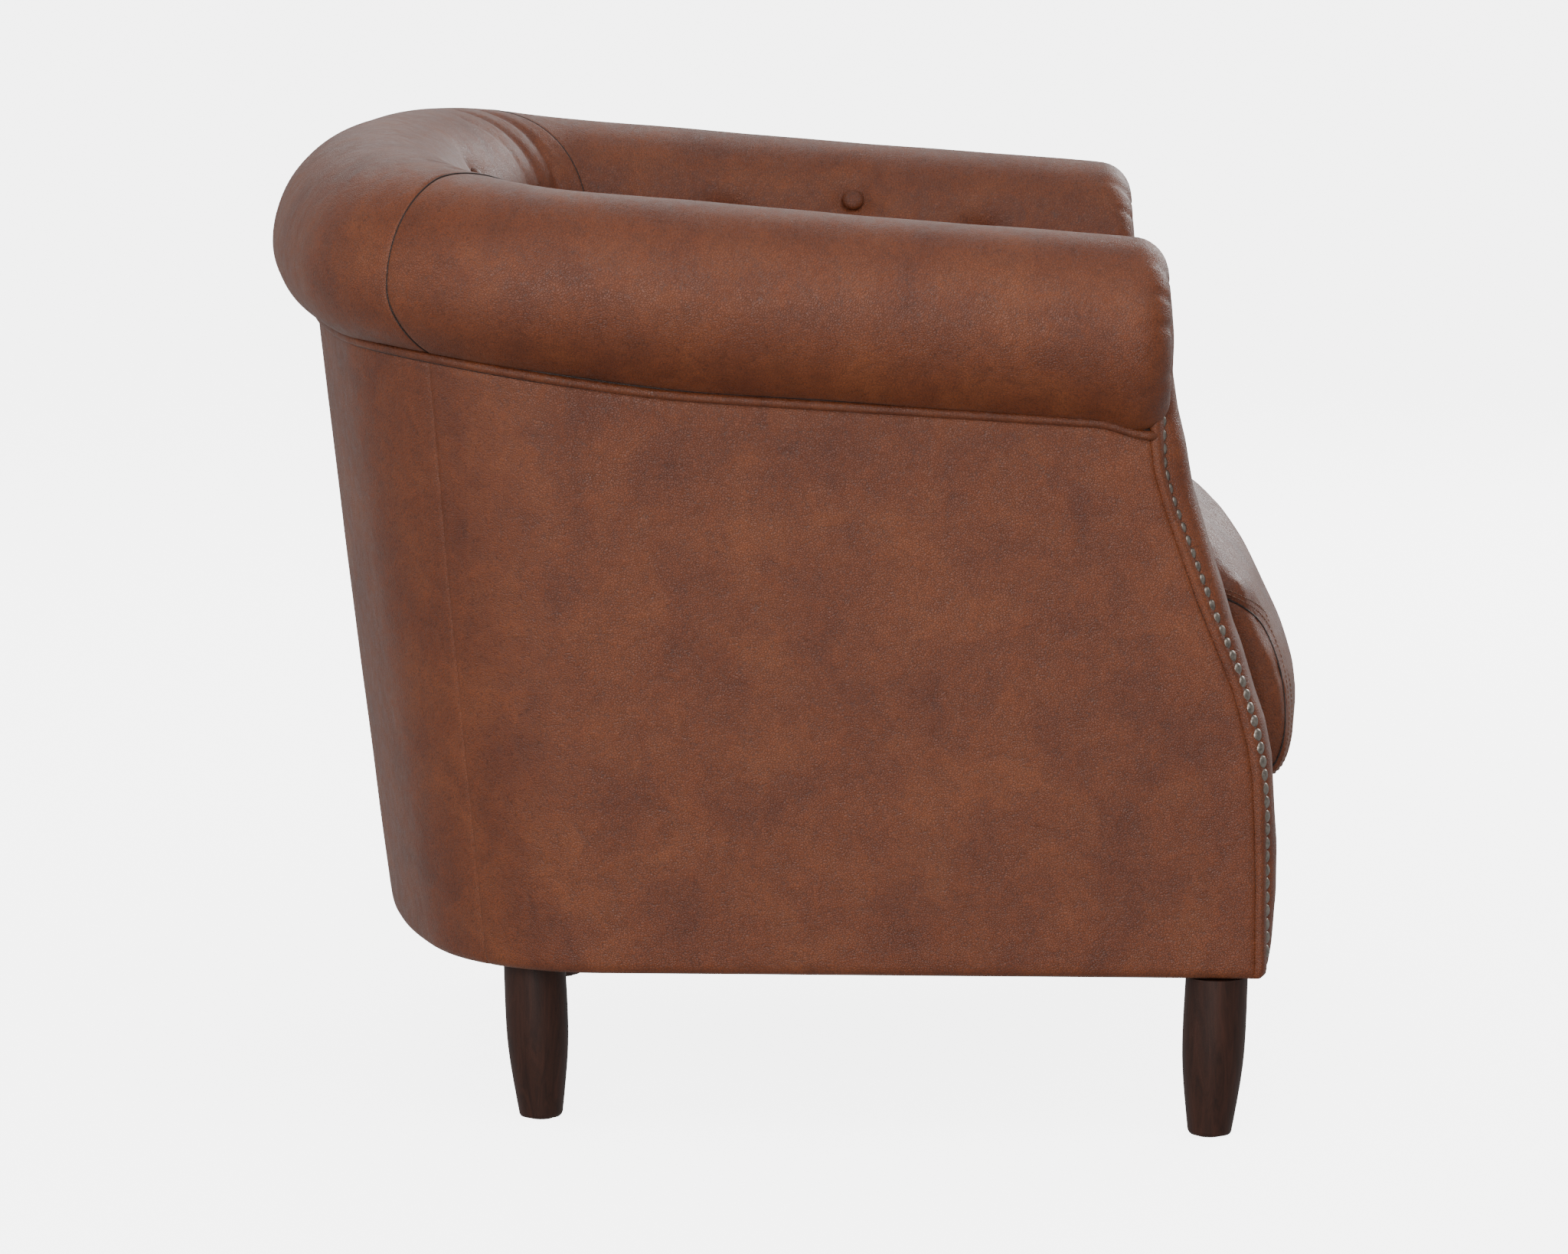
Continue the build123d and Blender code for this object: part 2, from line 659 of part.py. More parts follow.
def cushion_space(shrink):
    """Crowned seat cushion with a rolled front, straight sides and a bowed rear."""
    nose = (CUSHION_NOSE[0] + shrink, CUSHION_NOSE[1])
    top = CUSHION_TOP_Z - shrink
    base = CUSHION_Z + shrink
    above = CUSHION_CROWN_Z - shrink
    with BuildSketch(Plane.YZ) as side:
        with BuildLine():
            ThreePointArc((nose[0] + 27, base), (nose[0] + 6, nose[1] - 26), nose)
            ThreePointArc(nose, (nose[0] + 38, CUSHION_FRONT_Z - shrink), (-285, above))
            Polyline((-285, above), (60, above), (200, top - 48), (200, base), (nose[0] + 27, base))
        make_face()
    across = CUSHION_PLAN[0] - shrink
    rise = CUSHION_SIDE_Z - shrink
    with BuildSketch(Plane.XZ) as front:
        with BuildLine():
            ThreePointArc((-across - 9, rise), (0, top), (across + 9, rise))
            Polyline((across + 9, rise), (across + 9, 200), (-across - 9, 200), (-across - 9, rise))
        make_face()
    body = extrude(side.sketch, amount=BIG / 2, both=True) & extrude(front.sketch, amount=BIG / 2, both=True)
    return body & extrude(outline_face(CUSHION_PLAN, base - 1, -shrink), amount=300)


def zipper_centre():
    """Y of the centre of the cushion's bowed rear."""
    return CUSHION_PLAN[2] - CUSHION_PLAN[4]


def zipper_turn():
    """Degrees from the middle of the rear to the zip's end."""
    return math.degrees(math.asin(ZIP_HALF / CUSHION_PLAN[4]))


def on_zip(shape):
    """Move a piece made at the middle of the rear to the zip's closed end, at -X."""
    turn = Pos(0, zipper_centre(), 0) * Rot(0, 0, zipper_turn()) * Pos(0, -zipper_centre(), 0)
    return turn * shape


def cushion_band(half, near, far):
    """Upright band round the cushion at the zip's height, between two distances off it."""
    outer = extrude(outline_face(CUSHION_PLAN, ZIP_Z - half, far), amount=2 * half)
    inner = extrude(outline_face(CUSHION_PLAN, ZIP_Z - half - 1, near), amount=2 * half + 2)
    return outer - inner


def zipper_tape():
    """Zip tape with its teeth, along the rear of the cushion."""
    tape_half, tape_out = ZIP_TAPE
    teeth_half, teeth_out = ZIP_TEETH
    tape = cushion_band(tape_half, 0.1, tape_out) & block(-ZIP_HALF - 12, ZIP_HALF + 12, 60, 300, 0, BIG)
    teeth = cushion_band(teeth_half, tape_out, teeth_out)
    return tape + (teeth & block(-ZIP_HALF - 6, ZIP_HALF + 6, 60, 300, 0, BIG))


def zipper_slider():
    """Slider body that straddles the teeth, with an eye for the pull."""
    y_front, y_rear, y_eye = [CUSHION_PLAN[2] + y for y in SLIDER_Y]
    body_half, eye_half = SLIDER_HALF_Z
    body = block(-SLIDER_HALF, SLIDER_HALF, y_front, y_rear, ZIP_Z - body_half, ZIP_Z + body_half)
    eye = block(-PULL_EAR, PULL_EAR, y_rear, y_eye, ZIP_Z - eye_half, ZIP_Z + eye_half)
    hole = Pos(0, CUSHION_PLAN[2] + EYE_Y, ZIP_Z) * Cylinder(EYE_R, SLIDER_HALF, rotation=(0, 90, 0))
    return on_zip(body + eye - hole)


def zipper_pull():
    """Pull tab that hangs from the slider's eye."""
    y = CUSHION_PLAN[2] + EYE_Y
    y0, y1 = y - PULL_PIN_R, y + PULL_PIN_R
    ear_z = ZIP_Z - PULL_EAR_DROP
    pin = Pos(0, y, ZIP_Z) * Cylinder(PULL_PIN_R, 2 * PULL_HALF, rotation=(0, 90, 0))
    ear = block(-PULL_HALF, PULL_EAR - PULL_HALF, y0, y1, ear_z, ZIP_Z + PULL_PIN_R)
    tab = block(-PULL_HALF, PULL_HALF, y0, y1, ZIP_Z - PULL_DROP, ear_z)
    return on_zip(pin + ear + left_of(ear) + tab)


# ---- legs ----

def leg(place):
    """Turned foot, wider at the top, leaning a little under the chair."""
    x, y = place
    lean = LEG_LEAN if y < 0 else -LEG_LEAN
    edge_start = (LEG_FOOT_R - LEG_FOOT_EDGE, 0)
    edge_end = (LEG_FOOT_R, LEG_FOOT_EDGE)
    edge_middle = (LEG_FOOT_R - LEG_FOOT_EDGE * 0.3, LEG_FOOT_EDGE * 0.3)
    with BuildSketch(Plane.XZ) as half:
        with BuildLine():
            Line((0, 0), edge_start)
            ThreePointArc(edge_start, edge_middle, edge_end)
            Spline(edge_end, *reversed(LEG_WAIST), (LEG_R, 92), (LEG_R - 0.4, LEG_TOP_Z + 4))
            Polyline((LEG_R - 0.4, LEG_TOP_Z + 4), (0, LEG_TOP_Z + 4), (0, 0))
        make_face()
    turned = revolve(half.sketch, axis=Axis.Z)
    leaning = Pos(-x, y, LEG_TOP_Z) * Rot(lean, 0, 0) * Pos(0, 0, -LEG_TOP_Z) * turned
    leaning = leaning & block(-BIG, BIG, -BIG, BIG, GLIDE_H, LEG_TOP_Z)
    return leaning - Pos(-x, y, LEG_TOP_Z) * Cylinder(BOLT_R + BOLT_FIT, 2 * BOLT_IN_LEG + 2)


def glide(place):
    """Nylon glide under a foot."""
    x, y = place
    drift = LEG_TOP_Z * math.tan(math.radians(LEG_LEAN if y < 0 else -LEG_LEAN))
    return Pos(-x, y + drift, GLIDE_H / 2) * Cylinder(GLIDE_R, GLIDE_H)


def hanger_bolt(place):
    """Bolt from the leg up into its block."""
    low = LEG_TOP_Z - BOLT_IN_LEG
    high = RAIL_LOW_Z + BLOCK_H - 2.0
    rod = Cylinder(BOLT_R, high - low, align=(Align.CENTER, Align.CENTER, Align.MIN))
    return Pos(-place[0], place[1], low) * rod


def plate(place):
    """Steel leg plate under its block."""
    x, y = place
    half = PLATE_HALF
    slab = block(-x - half, -x + half, y - half, y + half, RAIL_LOW_Z - PLATE_H, RAIL_LOW_Z)
    slab = behind_board(slab & outer_body(-LEATHER - 1.0, SKIRT_Z, RAIL_LOW_Z + 5))
    slab = slab - Pos(-x, y, RAIL_LOW_Z) * Cylinder(BOLT_R + BOLT_FIT, 20)
    for dx, dy in PLATE_SCREWS:
        slab = slab - Pos(-x + dx, y + dy, RAIL_LOW_Z) * Cylinder(SCREW_R + BOLT_FIT, 20)
    return slab


def plate_screws(place):
    """Screws of one leg plate, heads down."""
    x, y = place
    standing = (Align.CENTER, Align.CENTER, Align.MIN)
    head = Pos(0, 0, -SCREW_HEAD_H) * Cylinder(SCREW_HEAD_R, SCREW_HEAD_H, align=standing)
    screw = head + Cylinder(SCREW_R, PLATE_H, align=standing)
    return [Pos(dx - x, y + dy, RAIL_LOW_Z - PLATE_H) * screw for dx, dy in PLATE_SCREWS]


def dust_cover():
    """Black cloth across the underside."""
    sheet = outer_body(-LEATHER - GAP, SKIRT_Z, SKIRT_Z + DUST_CLOTH) & behind_front(FACING + GAP)
    sheet = sheet - block(-BIG, BIG, -BIG, FRONT_Y + FACING + GAP, 0, BIG)
    for x, y in (FRONT_LEG, REAR_LEG):
        for side in (-1, 1):
            sheet = sheet - Pos(side * x, y, SKIRT_Z) * Cylinder(BOLT_R + 1.0, 20)
    return sheet


# ---- nails and buttons ----

def nail_path():
    """Places of the nails on the right facing: up the outside, round the roll, down the inside."""
    roll_z = ROLL_Z0 + ROLL_SLOPE * ROLL_FRONT_Y
    ring = ARM_ROLL_R - NAIL_RING_INSET
    foot_x = -outline_marks(OUTER_LOW)[0].X + 2.0 + NAIL_INSET
    inner_x = -INNER_LOW[0] - NAIL_INSET
    necks = [math.radians(angle) for angle in NAIL_NECKS]
    outer, inner = [(-ROLL_HALF + ring * math.cos(a), roll_z + ring * math.sin(a)) for a in necks]
    with BuildLine() as path:
        Line((foot_x, NAIL_ENDS_Z[0]), outer)
        ThreePointArc(outer, (-ROLL_HALF, roll_z + ring), inner)
        Line(inner, (inner_x, NAIL_ENDS_Z[1]))
    wire = path.wires()[0]
    count = int(wire.length / NAIL_PITCH)
    return [wire @ ((i + 0.5) / count) for i in range(count)]


def dome(radius, height):
    """Cap of a ball, dome towards +Z, back face at Z = 0."""
    ball = (radius ** 2 + height ** 2) / (2 * height)
    return Pos(0, 0, height - ball) * Sphere(ball) & block(-radius, radius, -radius, radius, 0, radius)


def front_plane(x, z):
    """Plane just off the arm's front face, facing forward."""
    rise = front_y(z + 1) - front_y(z - 1)
    return Plane(origin=(x, front_y(z), z), x_dir=X_AXIS, z_dir=(0, -2, rise)).offset(GAP)


def nails():
    """Nailheads of the right facing."""
    head = dome(NAIL_R, NAIL_H)
    return [front_plane(point.X, point.Y) * head for point in nail_path()]


def roll_button(station, angle, lift):
    """Button high on the inside of a roll; the angle runs over the roll from its outside."""
    plane, radius = station
    turn = math.radians(angle)
    out = plane.x_dir * math.cos(turn) + Vector(0, 0, math.sin(turn))
    return Plane(origin=plane.origin + out * (radius + lift), z_dir=out) * dome(BUTTON_R, BUTTON_H)


def buttons():
    """Tufting buttons of the inside arms and back, high and low by turns."""
    high = arm_station(HIGH_BUTTON_Y), HIGH_BUTTON_ANGLE
    low = [(arm_station(y), LOW_BUTTON_ANGLE) for y in LOW_BUTTONS_Y]
    pairs = [roll_button(station, angle, ARM_BUTTON_LIFT) for station, angle in [high] + low]
    back_turn = math.degrees(math.acos(BACK_BUTTON_X / ROLL_BACK_BEND))
    pairs.append(roll_button(back_station(back_turn), HIGH_BUTTON_ANGLE, BACK_BUTTON_LIFT))
    middle = roll_button(back_station(90), LOW_BUTTON_ANGLE, BACK_BUTTON_LIFT)
    return pairs + [left_of(piece) for piece in pairs] + [middle]


def solids_of(piece):
    """Flat list of the solids in a shape or a list of shapes."""
    if isinstance(piece, (list, tuple)):
        found = []
        for item in piece:
            found += solids_of(item)
        return found
    return list(piece.solids())


def write(name, piece):
    """Write one node."""
    found = solids_of(piece)
    shape = found[0] if len(found) == 1 else Compound(children=found)
    shape.label = name
    export_step(shape, f"parts/{name}.step")
    print(name, len(found), round(sum(s.volume for s in found) / 1000, 1), "cm3")


def write_pair(name, right_piece):
    """Write a right-hand node and its mirrored left-hand node."""
    write(f"{name}_right", right_piece)
    write(f"{name}_left", [left_of(solid) for solid in solids_of(right_piece)])


def write_frame():
    write("frame_front_rail", front_rail())
    write_pair("frame_side_rail", side_rail())
    write("frame_back_rail", back_rail())
    write_pair("frame_arm_front_board", arm_front_board())
    write_pair("frame_arm_rail", top_rail() & block(-BIG, 0, -BIG, TOP_RAIL_JOINT_Y - GAP, 0, BIG))
    write("frame_back_top_rail", top_rail() & block(-BIG, BIG, TOP_RAIL_JOINT_Y, BIG, 0, BIG))
    write_pair("frame_back_post", back_post())
    write("frame_back_stays", back_stays())
    write("frame_leg_blocks", leg_blocks())


def write_suspension():
    write("seat_springs", springs())
    write("seat_spring_clips", spring_clips())
    write("seat_insulator", deck_layer(*INSULATOR_Z))
    write("seat_deck_pad", deck_layer(*DECK_PAD_Z))
    write("seat_deck_cover", deck_layer(*DECK_COVER_Z))
    write("arm_webbing", arm_webbing())
    write("back_webbing", back_webbing())


def write_padding():
    foam = seat_liner(LEATHER + GAP, FOAM, INNER_LOW_Z)
    write_pair("inside_arm_foam", arm_part(foam))
    write("inside_back_foam", back_part(foam))
    cover = seat_liner(0, LEATHER, INNER_LOW_Z)
    write_pair("inside_arm_cover", arm_part(cover))
    write("inside_back_cover", back_part(cover))


def write_rolls():
    board = left_of(front_board_space())
    arm_foam = roll_solid(arm_stations(), LEATHER + GAP) - board
    arm_skin = roll_solid(arm_stations(), 0) - roll_solid(arm_stations(), LEATHER) - board
    write("arm_roll_foam_left", arm_foam)
    write("arm_roll_foam_right", left_of(arm_foam))
    write("arm_roll_cover_left", arm_skin)
    write("arm_roll_cover_right", left_of(arm_skin))
    write("back_roll_foam", roll_solid(back_stations(), LEATHER + GAP))
    write("back_roll_cover", roll_solid(back_stations(), 0) - roll_solid(back_stations(), LEATHER))


def write_outside():
    skin = outside_cover()
    write_pair("outside_arm_cover", right_side(mitre_cut(skin, True)))
    write("outside_back_cover", mitre_cut(skin, False))
    write_pair("arm_front_cover", arm_front_cover())
    write("front_border_cover", front_border())
    write("front_border_welt", front_border_welt())
    write("roll_welt", roll_welt())
    write_pair("nailhead_trim", nails())
    write("tufting_buttons", buttons())
    write("dust_cover", dust_cover())


def write_feet():
    names = (("leg_front", FRONT_LEG), ("leg_rear", REAR_LEG))
    for name, place in names:
        write_pair(name, leg(place))
    for name, maker in (("hanger_bolts", hanger_bolt), ("leg_plates", plate),
                        ("leg_plate_screws", plate_screws), ("foot_glides", glide)):
        right = solids_of([maker(FRONT_LEG), maker(REAR_LEG)])
        write(name, right + [left_of(solid) for solid in right])


def write_cushion():
    core = cushion_space(LEATHER + GAP)
    write("cushion_core", core)
    write("cushion_cover", cushion_space(0) - cushion_space(LEATHER))
    write("zipper_tape", zipper_tape())
    write("zipper_slider", zipper_slider())
    write("zipper_pull", zipper_pull())


os.makedirs("parts", exist_ok=True)
write_frame()
write_suspension()
write_padding()
write_rolls()
write_outside()
write_feet()
write_cushion()
print("zip turn", round(zipper_turn(), 3), "zip centre y", round(zipper_centre(), 3))
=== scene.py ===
import json
import math

import bpy
import numpy as np
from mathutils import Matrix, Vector, noise


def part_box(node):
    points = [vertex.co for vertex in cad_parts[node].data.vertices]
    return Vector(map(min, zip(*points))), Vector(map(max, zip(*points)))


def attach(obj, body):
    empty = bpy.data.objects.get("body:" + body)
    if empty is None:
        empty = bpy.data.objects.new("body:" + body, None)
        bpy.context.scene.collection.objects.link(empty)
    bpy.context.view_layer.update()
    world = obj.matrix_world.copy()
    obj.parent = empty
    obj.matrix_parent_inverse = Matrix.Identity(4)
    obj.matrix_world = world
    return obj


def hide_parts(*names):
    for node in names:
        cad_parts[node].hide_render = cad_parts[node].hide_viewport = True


# Leather club armchair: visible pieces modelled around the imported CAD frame.
# Geometry is worked out in millimetres in the row frame and scaled when a mesh is made.

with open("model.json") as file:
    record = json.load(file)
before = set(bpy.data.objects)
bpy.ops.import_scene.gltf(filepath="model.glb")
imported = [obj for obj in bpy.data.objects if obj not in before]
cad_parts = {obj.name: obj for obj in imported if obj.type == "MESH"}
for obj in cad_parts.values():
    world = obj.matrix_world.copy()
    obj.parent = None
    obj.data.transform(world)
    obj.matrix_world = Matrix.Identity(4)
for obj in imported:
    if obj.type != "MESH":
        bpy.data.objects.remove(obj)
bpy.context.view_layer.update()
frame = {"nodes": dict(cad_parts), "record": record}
MM = 0.001
UP = np.array([0.0, 0.0, 1.0])


# ---- driving sizes, read from the frame where it states them ----

SIDES = ((-1, "right"), (1, "left"))


def node_box(name):
    low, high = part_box(name)
    return np.array(low) / MM, np.array(high) / MM


SKIRT_Z = node_box("outside_arm_cover_right")[0][2]
ROLL_HALF = 330.0           # X of the arm roll's centre line
ROLL_Z0 = 673.0             # its height at Y 0, and its slope along Y
ROLL_SLOPE = 0.079
ARM_R = 80.5
BACK_R = 90.0
UNDERCUT = -59.0            # degrees round the roll, from straight out to the welt
WELT_Z0 = 603.0
WELT_SLOPE = 0.0625
WELT_CLIMB = 17.0           # extra rise of the welt round the corner, over this range of Y
WELT_CLIMB_Y = (60.0, 340.0)
UNDER_LIFT = 21.0           # how far the roll's underside rises and moves out with that climb
UNDER_OUT = 5.5
DECK_Z = 262.0
FACE_Y = -307.6             # front of the roll's face
MITRE_TURN = 39.5           # degrees round the corner: the mitre above the roll's middle, and at the welt
MITRE_LOW_TURN = 36.0

# Plan outlines: half width, Y it is measured at, back Y, side taper in degrees, back bend, corner bend.
ROLL_PLAN = (ROLL_HALF, -300.0, 343.6, 0.0, 800.0, 140.0)
OUTER_LOW = (385.0, -300.0, 335.0, 2.4, 790.0, 161.0)
OUTER_HIGH = (371.1, -300.0, 395.2, 0.24, 851.8, 183.65)
OUTER_HIGH_Z = 655.0
INNER_HALF = 249.5
INNER_LOW = (INNER_HALF, -300.0, 167.0, 0.0, 640.0, 70.0)
INNER_HIGH = (INNER_HALF, -300.0, 253.0, 0.0, 710.0, 59.0)
INNER_HIGH_Z = 690.0
CUSHION_PLAN = (246.5, -300.0, 158.0, 0.0, 600.0, 66.0)

# Front profile of the arm: outermost line of the facing, and the seam and nail rows beside it (Z, Y).
CROWN = ((130, -386), (160, -391), (198, -394), (239, -394.2), (274, -392), (311, -389.4), (340, -383.5),
         (363, -375.5), (398, -365.5), (417, -358.4), (452, -348.4), (472, -341.4), (495, -334.4), (528, -324.4),
         (564, -318.4), (590, -312.4), (620, -308), (800, -306.6))
NAILS = ((130, -387), (212, -386.4), (269, -386.2), (305, -383.7), (327, -380.2), (349, -374.2), (381, -364.2),
         (431, -343.2), (479, -325.2), (503, -316.2), (526, -308.2), (549, -302.5), (575, -301.5), (800, -301.5))
SEAM = ((130, -378.5), (216, -378.2), (265, -376.8), (297, -375.2), (328, -370.2), (368, -359.2), (398, -347.2),
        (439, -330.2), (479, -316.2), (515, -303.7), (545, -295), (573, -291.7), (800, -291.7))
NAIL_X = ((130, 381), (330, 381), (569, 366.5), (606, 356))


def table_value(table, z):
    """Second column of a table, read at one or more values of the first."""
    return np.interp(z, *zip(*table))


def smooth(t):
    t = min(max(t, 0.0), 1.0)
    return t * t * (3 - 2 * t)


def smooth_array(t):
    t = np.clip(t, 0.0, 1.0)
    return t * t * (3 - 2 * t)


class Plan:
    """Right-hand half of a U-shaped plan. Segment 0 is the side, 1 the corner, 2 half of the back."""

    def __init__(self, plan):
        half, ref_y, back_y, taper, r_back, r_corner = plan
        tilt = math.radians(taper)
        self.half, self.ref_y, self.tilt = half, ref_y, tilt
        self.r_back, self.r_corner = r_back, r_corner
        out = np.array([math.cos(tilt), math.sin(tilt)])
        along = np.array([-math.sin(tilt), math.cos(tilt)])
        self.back_centre = np.array([0.0, back_y - r_back])
        foot = np.array([half, ref_y]) - out * r_corner
        rel = foot - self.back_centre
        reach = r_back - r_corner
        b = float(rel @ along)
        travel = -b + math.sqrt(b * b - float(rel @ rel) + reach * reach)
        self.centre = foot + along * travel
        self.start = self.centre + out * r_corner
        self.turn = math.atan2(*(self.centre - self.back_centre)[::-1])

    def at(self, u, front_y):
        """Point and outward normal at u from 0 (front) to 3 (middle of the back)."""
        if u <= 1.0:
            y = front_y + (self.start[1] - front_y) * u
            x = self.half - math.tan(self.tilt) * (y - self.ref_y)
            return np.array([x, y]), np.array([math.cos(self.tilt), math.sin(self.tilt)])
        if u <= 2.0:
            a = self.tilt + (self.turn - self.tilt) * (u - 1.0)
            n = np.array([math.cos(a), math.sin(a)])
            return self.centre + n * self.r_corner, n
        a = self.turn + (math.pi / 2 - self.turn) * (u - 2.0)
        n = np.array([math.cos(a), math.sin(a)])
        return self.back_centre + n * self.r_back, n

    def lengths(self, front_y):
        return (self.start[1] - front_y, self.r_corner * (self.turn - self.tilt),
                self.r_back * (math.pi / 2 - self.turn))


def mixed(low, high, z0, z1, z):
    share = (z - z0) / (z1 - z0)
    return Plan(tuple(a + (b - a) * share for a, b in zip(low, high)))


ROLL = Plan(ROLL_PLAN)
CORNER_LEN = ROLL.r_corner * ROLL.turn
PLANS = {}          # plans already made, by wall and by height to 0.1 mm


def wall_plan(wall, z):
    key = (wall, round(z, 1))
    if key not in PLANS:
        PLANS[key] = mixed(*wall, z)
    return PLANS[key]


def outer_plan(z):
    return wall_plan((OUTER_LOW, OUTER_HIGH, SKIRT_Z, OUTER_HIGH_Z), z)


def inner_plan(z):
    return wall_plan((INNER_LOW, INNER_HIGH, DECK_Z, INNER_HIGH_Z), z)


def roll_z(y):
    return ROLL_Z0 + ROLL_SLOPE * y


def roll_r(y):
    return ARM_R + (BACK_R - ARM_R) * smooth((y - 150.0) / 180.0)


def climb_share(y):
    """Share of the welt's climb round the corner that is reached at a given Y."""
    return smooth((y - WELT_CLIMB_Y[0]) / (WELT_CLIMB_Y[1] - WELT_CLIMB_Y[0]))


def welt_line(y):
    """Height of the roll welt at a given Y, away from its dip at the front."""
    return WELT_Z0 + WELT_SLOPE * y + WELT_CLIMB * climb_share(y)


def handed(points, x_sign):
    """Points worked out for the +X side, moved to the side that x_sign names."""
    return np.asarray(points, float) * np.array([x_sign, 1.0, 1.0])


def whole_row(half):
    """Columns of the +X half that end on the middle line, followed by their mirror image."""
    return np.concatenate([half, handed(half[:, ::-1][:, 1:], -1)], axis=1)


def ripple(p, scale, seed):
    """Smooth low-frequency value from -1 to 1 at a point in millimetres."""
    return noise.noise(Vector((p[0] / scale + seed, p[1] / scale, p[2] / scale)))


# ---- materials ----

class Nodes:
    """One material's node tree. Every call adds a node: its settings first, then each input's value or link."""

    def __init__(self, name):
        self.material = bpy.data.materials.new(name)
        self.material.use_nodes = True
        self.tree = self.material.node_tree
        self.tree.nodes.clear()

    def add(self, kind, inputs, output=None, **settings):
        node = self.tree.nodes.new("ShaderNode" + kind)
        for key, value in settings.items():
            setattr(node, key, value)
        for key, value in inputs.items():
            if isinstance(value, bpy.types.NodeSocket):
                self.tree.links.new(value, node.inputs[key])
            else:
                node.inputs[key].default_value = value
        return node.outputs[output] if output else None

    def place(self):
        return self.add("TexCoord", {}, "Object")

    def noise(self, vector, scale, detail=2.0, rough=0.5, distort=0.0, output="Fac"):
        return self.add("TexNoise", {"Vector": vector, "Scale": scale, "Detail": detail, "Roughness": rough,
                                     "Distortion": distort}, output)

    def nudged(self, vector, scale, share):
        """A vector moved a little by noise, so that the pattern read from it isn't regular."""
        return self.add("Mix", {"Factor": share, "A": vector, "B": self.noise(vector, scale, output="Color")},
                        "Result", data_type="VECTOR")

    def spread(self, value, low, high, to_low, to_high):
        return self.add("MapRange", {"Value": value, "From Min": low, "From Max": high, "To Min": to_low,
                                     "To Max": to_high}, "Result")

    def scaled(self, vector, factor):
        return self.add("VectorMath", {0: vector, "Scale": factor}, "Vector", operation="SCALE")

    def maths(self, operation, *values):
        return self.add("Math", dict(enumerate(values)), "Value", operation=operation)

    def ramp(self, value, first, last, *between):
        """Colour ramp with a (position, colour) pair for each stop."""
        colour = self.add("ValToRGB", {"Fac": value}, "Color")
        stops = colour.node.color_ramp.elements
        for stop, (position, tone) in zip(stops, (first, last)):
            stop.position = position
            stop.color = (*tone, 1)
        for position, tone in between:
            stops.new(position).color = (*tone, 1)
        return colour

    def bump(self, height, strength, distance, **normal):
        return self.add("Bump", {"Height": height, "Strength": strength, "Distance": distance, **normal}, "Normal")

    def finish(self, inputs):
        """Ends the material with a Principled shader that has these inputs."""
        self.add("OutputMaterial", {"Surface": self.add("BsdfPrincipled", inputs, "BSDF")})
        return self.material


LEATHER_TONES = ((0.104, 0.0216, 0.0047), (0.141, 0.0322, 0.0073), (0.178, 0.0458, 0.0116), (0.215, 0.067, 0.022))


def leather(name, gain=1.0, patch=1.0):
    """Waxed pull-up leather: mottled brown, fine pebble grain, pores, creases, waxy sheen."""
    nodes = Nodes(name)
    here = nodes.place()
    warped = nodes.nudged(here, 38.0, 0.03)
    large = nodes.noise(warped, 15.0 * patch, 5.0, 0.62, 0.35)
    medium = nodes.noise(warped, 75.0, 6.0, 0.65, 0.2)
    fine = nodes.noise(here, 420.0, 3.0, 0.6)
    dark, mid, light, worn = [tuple(c * gain for c in tone) for tone in LEATHER_TONES]
    base = nodes.ramp(large, (0.30, dark), (0.72, light), (0.50, mid))
    mottled = nodes.scaled(base, nodes.spread(medium, 0.34, 0.68, 0.86, 1.14))
    cells = nodes.add("TexVoronoi", {"Vector": nodes.nudged(here, 160.0, 0.0045), "Scale": 520.0}, "Distance",
                      feature="DISTANCE_TO_EDGE")
    pebble = nodes.spread(cells, 0.0, 0.22, 0.0, 1.0)
    grained = nodes.scaled(mottled, nodes.spread(pebble, 0.0, 0.6, 0.52, 1.06))
    # the wax has rubbed off to a lighter tone where the surface is convex
    edges = nodes.spread(nodes.add("NewGeometry", {}, "Pointiness"), 0.50, 0.60, 0.0, 0.22)
    colour = nodes.add("Mix", {"Factor": edges, "A": grained, "B": (*worn, 1)}, "Result", data_type="RGBA")
    pores = nodes.maths("MULTIPLY_ADD", fine, 0.35, pebble)
    return nodes.finish({
        "Base Color": colour, "Roughness": nodes.spread(medium, 0.3, 0.7, 0.40, 0.56),
        "Sheen Weight": 0.07, "Sheen Roughness": 0.28, "Sheen Tint": (0.88, 0.80, 0.74, 1),
        "Specular IOR Level": 0.45,
        "Normal": nodes.bump(medium, 0.35, 0.0022, Normal=nodes.bump(pores, 0.5, 0.00045))})


def wood(name, dark, light, rough, scale=1.0):
    """Wood with rings and pores drawn out along Z."""
    nodes = Nodes(name)
    along = nodes.add("Mapping", {"Vector": nodes.place(), "Scale": (9.0 * scale, 9.0 * scale, 0.9 * scale)}, "Vector")
    rings = nodes.noise(along, 14.0, 8.0, 0.7, 1.4)
    pores = nodes.noise(along, 90.0, 4.0, 0.7)
    return nodes.finish({
        "Base Color": nodes.ramp(rings, (0.32, dark), (0.70, light)), "Specular IOR Level": 0.3,
        "Roughness": nodes.spread(pores, 0.0, 1.0, rough, rough + 0.14), "Normal": nodes.bump(pores, 0.25, 0.0004)})


def metal(name, dark, light, rough):
    """Metal with fine tarnish."""
    nodes = Nodes(name)
    tarnish = nodes.noise(nodes.place(), 260.0, 5.0, 0.7)
    return nodes.finish({
        "Base Color": nodes.ramp(tarnish, (0.35, dark), (0.65, light)), "Metallic": 1.0,
        "Roughness": nodes.spread(tarnish, 0.0, 1.0, rough, rough + 0.25), "Normal": nodes.bump(tarnish, 0.3, 0.0002)})


